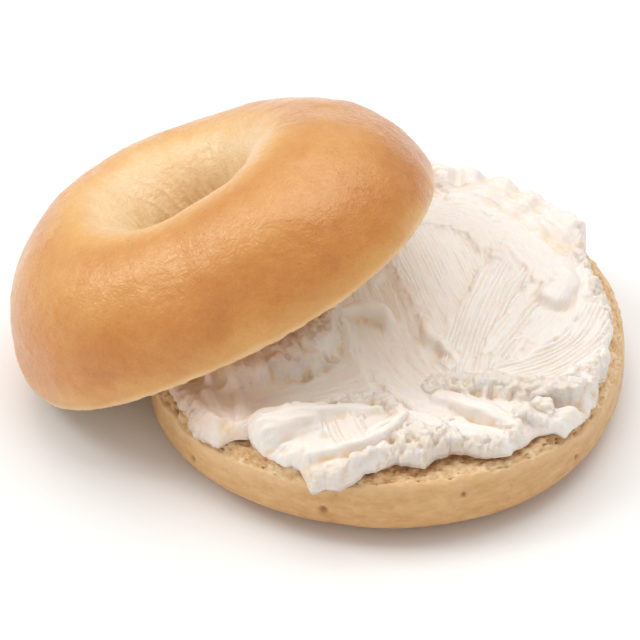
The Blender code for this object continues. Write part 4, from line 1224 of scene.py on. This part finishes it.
class Nodes:
    """Short calls for building a material's nodes."""

    def __init__(self, name):
        self.material = bpy.data.materials.new(name)
        self.material.use_nodes = True
        self.tree = self.material.node_tree
        self.shader = self.tree.nodes["Principled BSDF"]
        self.place = self.add("ShaderNodeTexCoord").outputs["Object"]

    def add(self, kind, **settings):
        """A new node of a kind, with its settings."""
        node = self.tree.nodes.new(kind)
        for name, value in settings.items():
            setattr(node, name, value)
        return node

    def feed(self, socket, value):
        """Links a socket to an output, or sets its value."""
        if isinstance(value, bpy.types.NodeSocket):
            self.tree.links.new(value, socket)
        else:
            socket.default_value = value

    def attribute(self, name):
        """A number stored for each vertex."""
        return self.add("ShaderNodeAttribute", attribute_name=name).outputs["Fac"]

    def scaled(self, vector, factors):
        """A vector with each of its parts multiplied."""
        node = self.add("ShaderNodeVectorMath", operation="MULTIPLY")
        self.feed(node.inputs[0], vector)
        self.feed(node.inputs[1], factors)
        return node.outputs[0]

    def noise(self, scale_mm, detail=3.0, roughness=0.55, distortion=0.0, place=None):
        """Noise with bumps about this large."""
        node = self.add("ShaderNodeTexNoise")
        self.feed(node.inputs["Vector"], place or self.place)
        self.feed(node.inputs["Scale"], 1.0 if place else 1000.0 / scale_mm)
        self.feed(node.inputs["Detail"], detail)
        self.feed(node.inputs["Roughness"], roughness)
        self.feed(node.inputs["Distortion"], distortion)
        return node.outputs["Fac"]

    def cells(self, scale_mm):
        """How far off the nearest of many scattered centres lies."""
        node = self.add("ShaderNodeTexVoronoi")
        self.feed(node.inputs["Vector"], self.place)
        self.feed(node.inputs["Scale"], 1000.0 / scale_mm)
        return node.outputs["Distance"]

    def maths(self, operation, first, second=0.0, clamp=False):
        """One step of arithmetic."""
        node = self.add("ShaderNodeMath", operation=operation, use_clamp=clamp)
        self.feed(node.inputs[0], first)
        self.feed(node.inputs[1], second)
        return node.outputs[0]

    def ranged(self, value, low, high, to_low=0.0, to_high=1.0):
        """A value taken from one range to another."""
        node = self.add("ShaderNodeMapRange", clamp=True)
        for socket, given in zip(node.inputs[:5], (value, low, high, to_low, to_high)):
            self.feed(socket, given)
        return node.outputs[0]

    def swing(self, texture, amount):
        """A noise's usual range, as a swing of this amount to either side of 0."""
        return self.ranged(texture, 0.3, 0.7, -amount, amount)

    def mixed(self, share, first, second):
        """Two numbers mixed."""
        node = self.add("ShaderNodeMix", data_type="FLOAT")
        self.feed(node.inputs[0], share)
        self.feed(node.inputs[2], first)
        self.feed(node.inputs[3], second)
        return node.outputs[0]

    def mix(self, share, first, second):
        """Two colours mixed."""
        node = self.add("ShaderNodeMix", data_type="RGBA")
        self.feed(node.inputs[0], share)
        self.feed(node.inputs[6], first)
        self.feed(node.inputs[7], second)
        return node.outputs[2]

    def ramp(self, value, stops):
        """The colour at a value, between stops of (place, colour)."""
        node = self.add("ShaderNodeValToRGB")
        band = node.color_ramp
        while len(band.elements) < len(stops):
            band.elements.new(0.5)
        for element, (place, colour) in zip(band.elements, stops):
            element.position = place
            element.color = colour
        self.feed(node.inputs[0], value)
        return node.outputs[0]

    def bump(self, height, distance_mm, strength=1.0, under=None):
        """A normal that shows a height, over the one under it."""
        node = self.add("ShaderNodeBump")
        self.feed(node.inputs["Height"], height)
        self.feed(node.inputs["Distance"], distance_mm * MM)
        self.feed(node.inputs["Strength"], strength)
        if under is not None:
            self.feed(node.inputs["Normal"], under)
        return node.outputs[0]


def bread_material(name, stops, crumb_colours, rim_colour, shine, coat, seed_shift, streaky):
    """Baked crust that turns to open crumb where the bread was cut."""
    n = Nodes(name)
    broad = n.noise(15.0 + seed_shift, 2.0)
    drawn = n.noise(1.0, 3.0, 0.6, place=n.scaled(n.place, (220.0, 220.0, 620.0)))
    mottle = n.noise(2.6, 4.0, 0.6)
    fine = n.noise(0.55, 3.0, 0.6)
    value = n.attribute("bake")
    for texture, amount in ((broad, 0.045), (mottle, 0.03), (drawn, streaky)):
        value = n.maths("ADD", value, n.swing(texture, amount))
    value = n.maths("ADD", value, n.swing(fine, 0.03), clamp=True)
    crust = n.ramp(value, stops)
    specks = n.maths("MULTIPLY", n.ranged(n.cells(3.1), 0.12, 0.05), n.ranged(n.noise(6.0), 0.52, 0.62))
    specks = n.maths("MAXIMUM", specks, n.attribute("speck"))
    for share, strength, tint in (
        (specks, 0.32, linear(118, 66, 32)),
        (n.attribute("rim"), 0.75, rim_colour),
        # painted shade deep in the upper half's hole
        (n.attribute("deep"), 0.6, linear(204, 162, 100)),
    ):
        crust = n.mix(n.maths("MULTIPLY", share, strength), crust, tint)
    # the crumb darkens with how deep it is torn: painted shade in its tears and air cells
    depth = n.maths("ADD", n.attribute("depth"), n.swing(n.noise(0.8, 3.0), 0.12), clamp=True)
    crumb = n.ramp(depth, crumb_colours)
    n.feed(n.shader.inputs["Base Color"], n.mix(n.attribute("crumb"), crust, crumb))
    rough_crust = n.ranged(n.noise(1.4, 3.0), 0.3, 0.7, shine - 0.06, shine + 0.08)
    dull_crumb = n.maths("MULTIPLY", n.attribute("crumb"), 0.4)
    surface = n.bump(n.noise(1.2, 4.0, 0.6, 0.4), 0.36, 0.65)
    surface = n.bump(n.noise(0.55, 2.0, 0.5, 0.5), 0.12, 0.6, surface)
    for socket, setting in (
        ("Roughness", n.maths("ADD", rough_crust, dull_crumb, clamp=True)),
        ("Subsurface Weight", 0.06),
        ("Subsurface Radius", (1.0, 0.45, 0.2)),
        ("Subsurface Scale", 1.2 * MM),
        ("Specular IOR Level", 0.5),
        ("Coat Weight", coat),
        ("Coat Roughness", 0.22),
        ("Normal", surface),
        ("Coat Normal", surface),
    ):
        n.feed(n.shader.inputs[socket], setting)
    return n.material


def upper_material(tones):
    """The golden crust of the upper half."""
    stops = [
        (0.0, tones.upper_pale),
        (0.25, tones.upper_light),
        (0.5, tones.upper_golden),
        (0.78, tones.upper_brown),
        (1.0, tones.upper_dark),
    ]
    # the crumb's stops run from its own colour to painted shade in the deepest air cells
    crumb = [(0.0, tones.crumb), (0.5, linear(222, 186, 136)), (1.0, tones.painted_pore_shade)]
    rim_colour = linear(246, 210, 156)
    return bread_material(
        "golden_crust", stops, crumb, rim_colour, shine=0.33, coat=0.55, seed_shift=0.0, streaky=0.02
    )


def lower_material(tones):
    """The paler, matt crust of the lower half."""
    stops = [
        (0.0, tones.lower_pale),
        (0.35, tones.lower_light),
        (0.65, tones.lower_brown),
        (1.0, tones.lower_dark),
    ]
    # the crumb's stops run from its own colour to painted shade in the deepest air cells
    crumb = [(0.0, tones.crumb), (0.5, linear(222, 178, 126)), (1.0, tones.painted_pore_shade)]
    rim_colour = linear(232, 192, 142)
    return bread_material(
        "pale_crust", stops, crumb, rim_colour, shine=0.46, coat=0.15, seed_shift=3.0, streaky=0.11
    )


def cheese_material(tones, groove):
    """Soft cheese, with streaks along the knife's strokes and a rough grain where it is torn."""
    n = Nodes("soft_cheese")
    drawn = n.add("ShaderNodeAttribute", attribute_name="stroke").outputs["Vector"]
    calm = n.attribute("calm")
    streak = n.mixed(calm, 0.5, n.noise(1.0, 3.0, 0.6, place=n.scaled(drawn, (0.11, 0.9, 1.0))))
    fine_streak = n.mixed(calm, 0.5, n.noise(1.0, 2.0, 0.5, place=n.scaled(drawn, (0.22, 2.6, 1.0))))
    torn, painted_lid_shade = n.attribute("torn"), n.attribute("painted_lid_shade")
    torn_patches = n.ranged(n.noise(2.8, 2.0), 0.40, 0.66, 0.0, 0.36)
    cleft_shade_patches = n.ranged(n.noise(2.2, 2.0), 0.35, 0.6, 0.15, 0.9)
    colour = tones.cheese
    for share, tint in (
        (n.ranged(n.noise(7.0, 3.0), 0.3, 0.7), linear(247, 237, 229)),
        (n.ranged(streak, 0.35, 0.65, 0.0, 0.25), linear(242, 230, 218)),
        # painted shade under the upper half and by its rim, in browns
        (n.maths("MULTIPLY", painted_lid_shade, 0.9), n.mix(painted_lid_shade, linear(180, 128, 80), linear(226, 162, 94))),
        (n.maths("MULTIPLY", torn, torn_patches), linear(242, 224, 196)),
        # painted shade in the clefts
        (n.maths("MULTIPLY", n.attribute("hollow"), cleft_shade_patches), tones.painted_cleft_shade),
    ):
        colour = n.mix(share, colour, tint)
    wave = n.maths("COSINE", n.maths("MULTIPLY", n.attribute("comb"), FULL_TURN))
    lines = n.maths("MULTIPLY", wave, n.attribute("comb_depth"))
    rough_torn = n.maths("MULTIPLY", n.noise(1.1, 4.0, 0.7), n.maths("ADD", torn, 0.06))
    surface = None
    for height, distance_mm, strength in (
        (lines, groove / MM, 0.5),
        (streak, 0.62, 0.65),
        (fine_streak, 0.16, 0.6),
        (n.noise(1.6, 4.0, 0.65), 0.16, 0.5),
        (rough_torn, 0.9, 0.8),
    ):
        surface = n.bump(height, distance_mm, strength, surface)
    for socket, setting in (
        ("Base Color", colour),
        ("Roughness", n.ranged(n.noise(1.8, 3.0), 0.3, 0.7, 0.28, 0.46)),
        ("Subsurface Weight", 0.75),
        ("Subsurface Radius", (1.0, 0.75, 0.5)),
        ("Subsurface Scale", 1.1 * MM),
        ("Specular IOR Level", 0.42),
        ("Normal", surface),
    ):
        n.feed(n.shader.inputs[socket], setting)
    return n.material


# Scene


def settle(piece, material, node):
    """Gives a piece its material, ties it to the root and hides the solid that it replaces."""
    piece.data.materials.append(material)
    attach(piece, "root")
    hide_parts(node)


class BAGEL_OT_lower_half(bpy.types.Operator):
    """Builds the lower half of the bread"""

    bl_idname = "bagel.lower_half"
    bl_label = "Lower half"

    def execute(self, context):
        scene = context.scene
        piece = build_lower(scene.bagel_sizes)
        settle(piece, lower_material(scene.bagel_colours), "lower_half")
        return {"FINISHED"}


class BAGEL_OT_upper_half(bpy.types.Operator):
    """Builds the upper half of the bread, leaning"""

    bl_idname = "bagel.upper_half"
    bl_label = "Upper half"

    def execute(self, context):
        scene = context.scene
        piece = build_upper(scene.bagel_sizes)
        settle(piece, upper_material(scene.bagel_colours), "upper_half")
        return {"FINISHED"}


class BAGEL_OT_spread(bpy.types.Operator):
    """Builds the soft cheese on the lower half"""

    bl_idname = "bagel.spread"
    bl_label = "Spread"

    def execute(self, context):
        scene = context.scene
        piece = build_spread(scene.bagel_sizes)
        material = cheese_material(scene.bagel_colours, scene.bagel_sizes.groove_depth)
        settle(piece, material, "cream_cheese")
        return {"FINISHED"}


def area_light(name, place, size, colour, watts):
    """A rectangular light that faces the bagel."""
    data = bpy.data.lights.new(name, "AREA")
    data.shape = "RECTANGLE"
    data.size, data.size_y = size
    data.energy = watts
    data.color = colour
    light = bpy.data.objects.new(name, data)
    bpy.context.scene.collection.objects.link(light)
    light.location = place
    light.rotation_euler = (Vector(LIGHT_TARGET) - Vector(place)).to_track_quat("-Z", "Y").to_euler()


class BAGEL_OT_stage(bpy.types.Operator):
    """Sets out the white floor, the lights and the camera"""

    bl_idname = "bagel.stage"
    bl_label = "Stage"

    def execute(self, context):
        scene = context.scene
        lights = scene.bagel_lights
        bpy.ops.object.select_all(action="DESELECT")
        bpy.ops.mesh.primitive_plane_add(size=FLOOR_SIZE, location=(0, 0, -FLOOR_DROP))
        floor = context.active_object
        floor.name = "floor"
        n = Nodes("white_floor")
        white = n.mix(n.noise(400.0), (0.93, 0.93, 0.93, 1), (0.92, 0.92, 0.92, 1))
        n.feed(n.shader.inputs["Base Color"], white)
        n.shader.inputs["Roughness"].default_value = 0.8
        n.shader.inputs["Specular IOR Level"].default_value = 0.1
        floor.data.materials.append(n.material)
        for light, watts in zip(LIGHTS, (lights.key, lights.side, lights.front)):
            area_light(*light, watts)
        world = bpy.data.worlds.new("white_room")
        world.use_nodes = True
        background = world.node_tree.nodes["Background"]
        background.inputs["Color"].default_value = ROOM_COLOUR
        background.inputs["Strength"].default_value = lights.fill
        scene.world = world
        data = bpy.data.cameras.new("photo_camera")
        data.lens = CAMERA_LENS
        data.sensor_width = SENSOR_WIDTH
        data.clip_end = CLIP_END
        camera = bpy.data.objects.new("photo_camera", data)
        scene.collection.objects.link(camera)
        camera.location = (np.array(CAMERA_PLACE) + MIDDLE) * MM
        camera.rotation_euler = (CAMERA_PITCH, 0, 0)
        scene.camera = camera
        scene.view_settings.view_transform = "Standard"
        scene.view_settings.look = "None"
        return {"FINISHED"}


class BAGEL_PT_panel(bpy.types.Panel):
    """Lists the steps that build the bagel"""

    bl_idname = "BAGEL_PT_panel"
    bl_label = "Bagel"
    bl_space_type = "VIEW_3D"
    bl_region_type = "UI"
    bl_category = "Bagel"

    def draw(self, context):
        for operator in (BAGEL_OT_lower_half, BAGEL_OT_upper_half, BAGEL_OT_spread, BAGEL_OT_stage):
            self.layout.operator(operator.bl_idname)
        for group in (context.scene.bagel_sizes, context.scene.bagel_colours, context.scene.bagel_lights):
            box = self.layout.box()
            for name in type(group).__annotations__:
                box.prop(group, name)


CLASSES = (
    BagelSizes,
    BagelColours,
    BagelLights,
    BAGEL_OT_lower_half,
    BAGEL_OT_upper_half,
    BAGEL_OT_spread,
    BAGEL_OT_stage,
    BAGEL_PT_panel,
)


def register():
    """Adds the classes, and the settings that a scene holds for them."""
    for kind in CLASSES:
        bpy.utils.register_class(kind)
    bpy.types.Scene.bagel_sizes = bpy.props.PointerProperty(type=BagelSizes)
    bpy.types.Scene.bagel_colours = bpy.props.PointerProperty(type=BagelColours)
    bpy.types.Scene.bagel_lights = bpy.props.PointerProperty(type=BagelLights)


def unregister():
    """Takes them out again."""
    del bpy.types.Scene.bagel_sizes, bpy.types.Scene.bagel_colours, bpy.types.Scene.bagel_lights
    for kind in reversed(CLASSES):
        bpy.utils.unregister_class(kind)


def main():
    """Builds the bagel and its studio."""
    register()
    bpy.ops.bagel.lower_half()
    bpy.ops.bagel.upper_half()
    bpy.ops.bagel.spread()
    bpy.ops.bagel.stage()


if __name__ == "__main__":
    main()
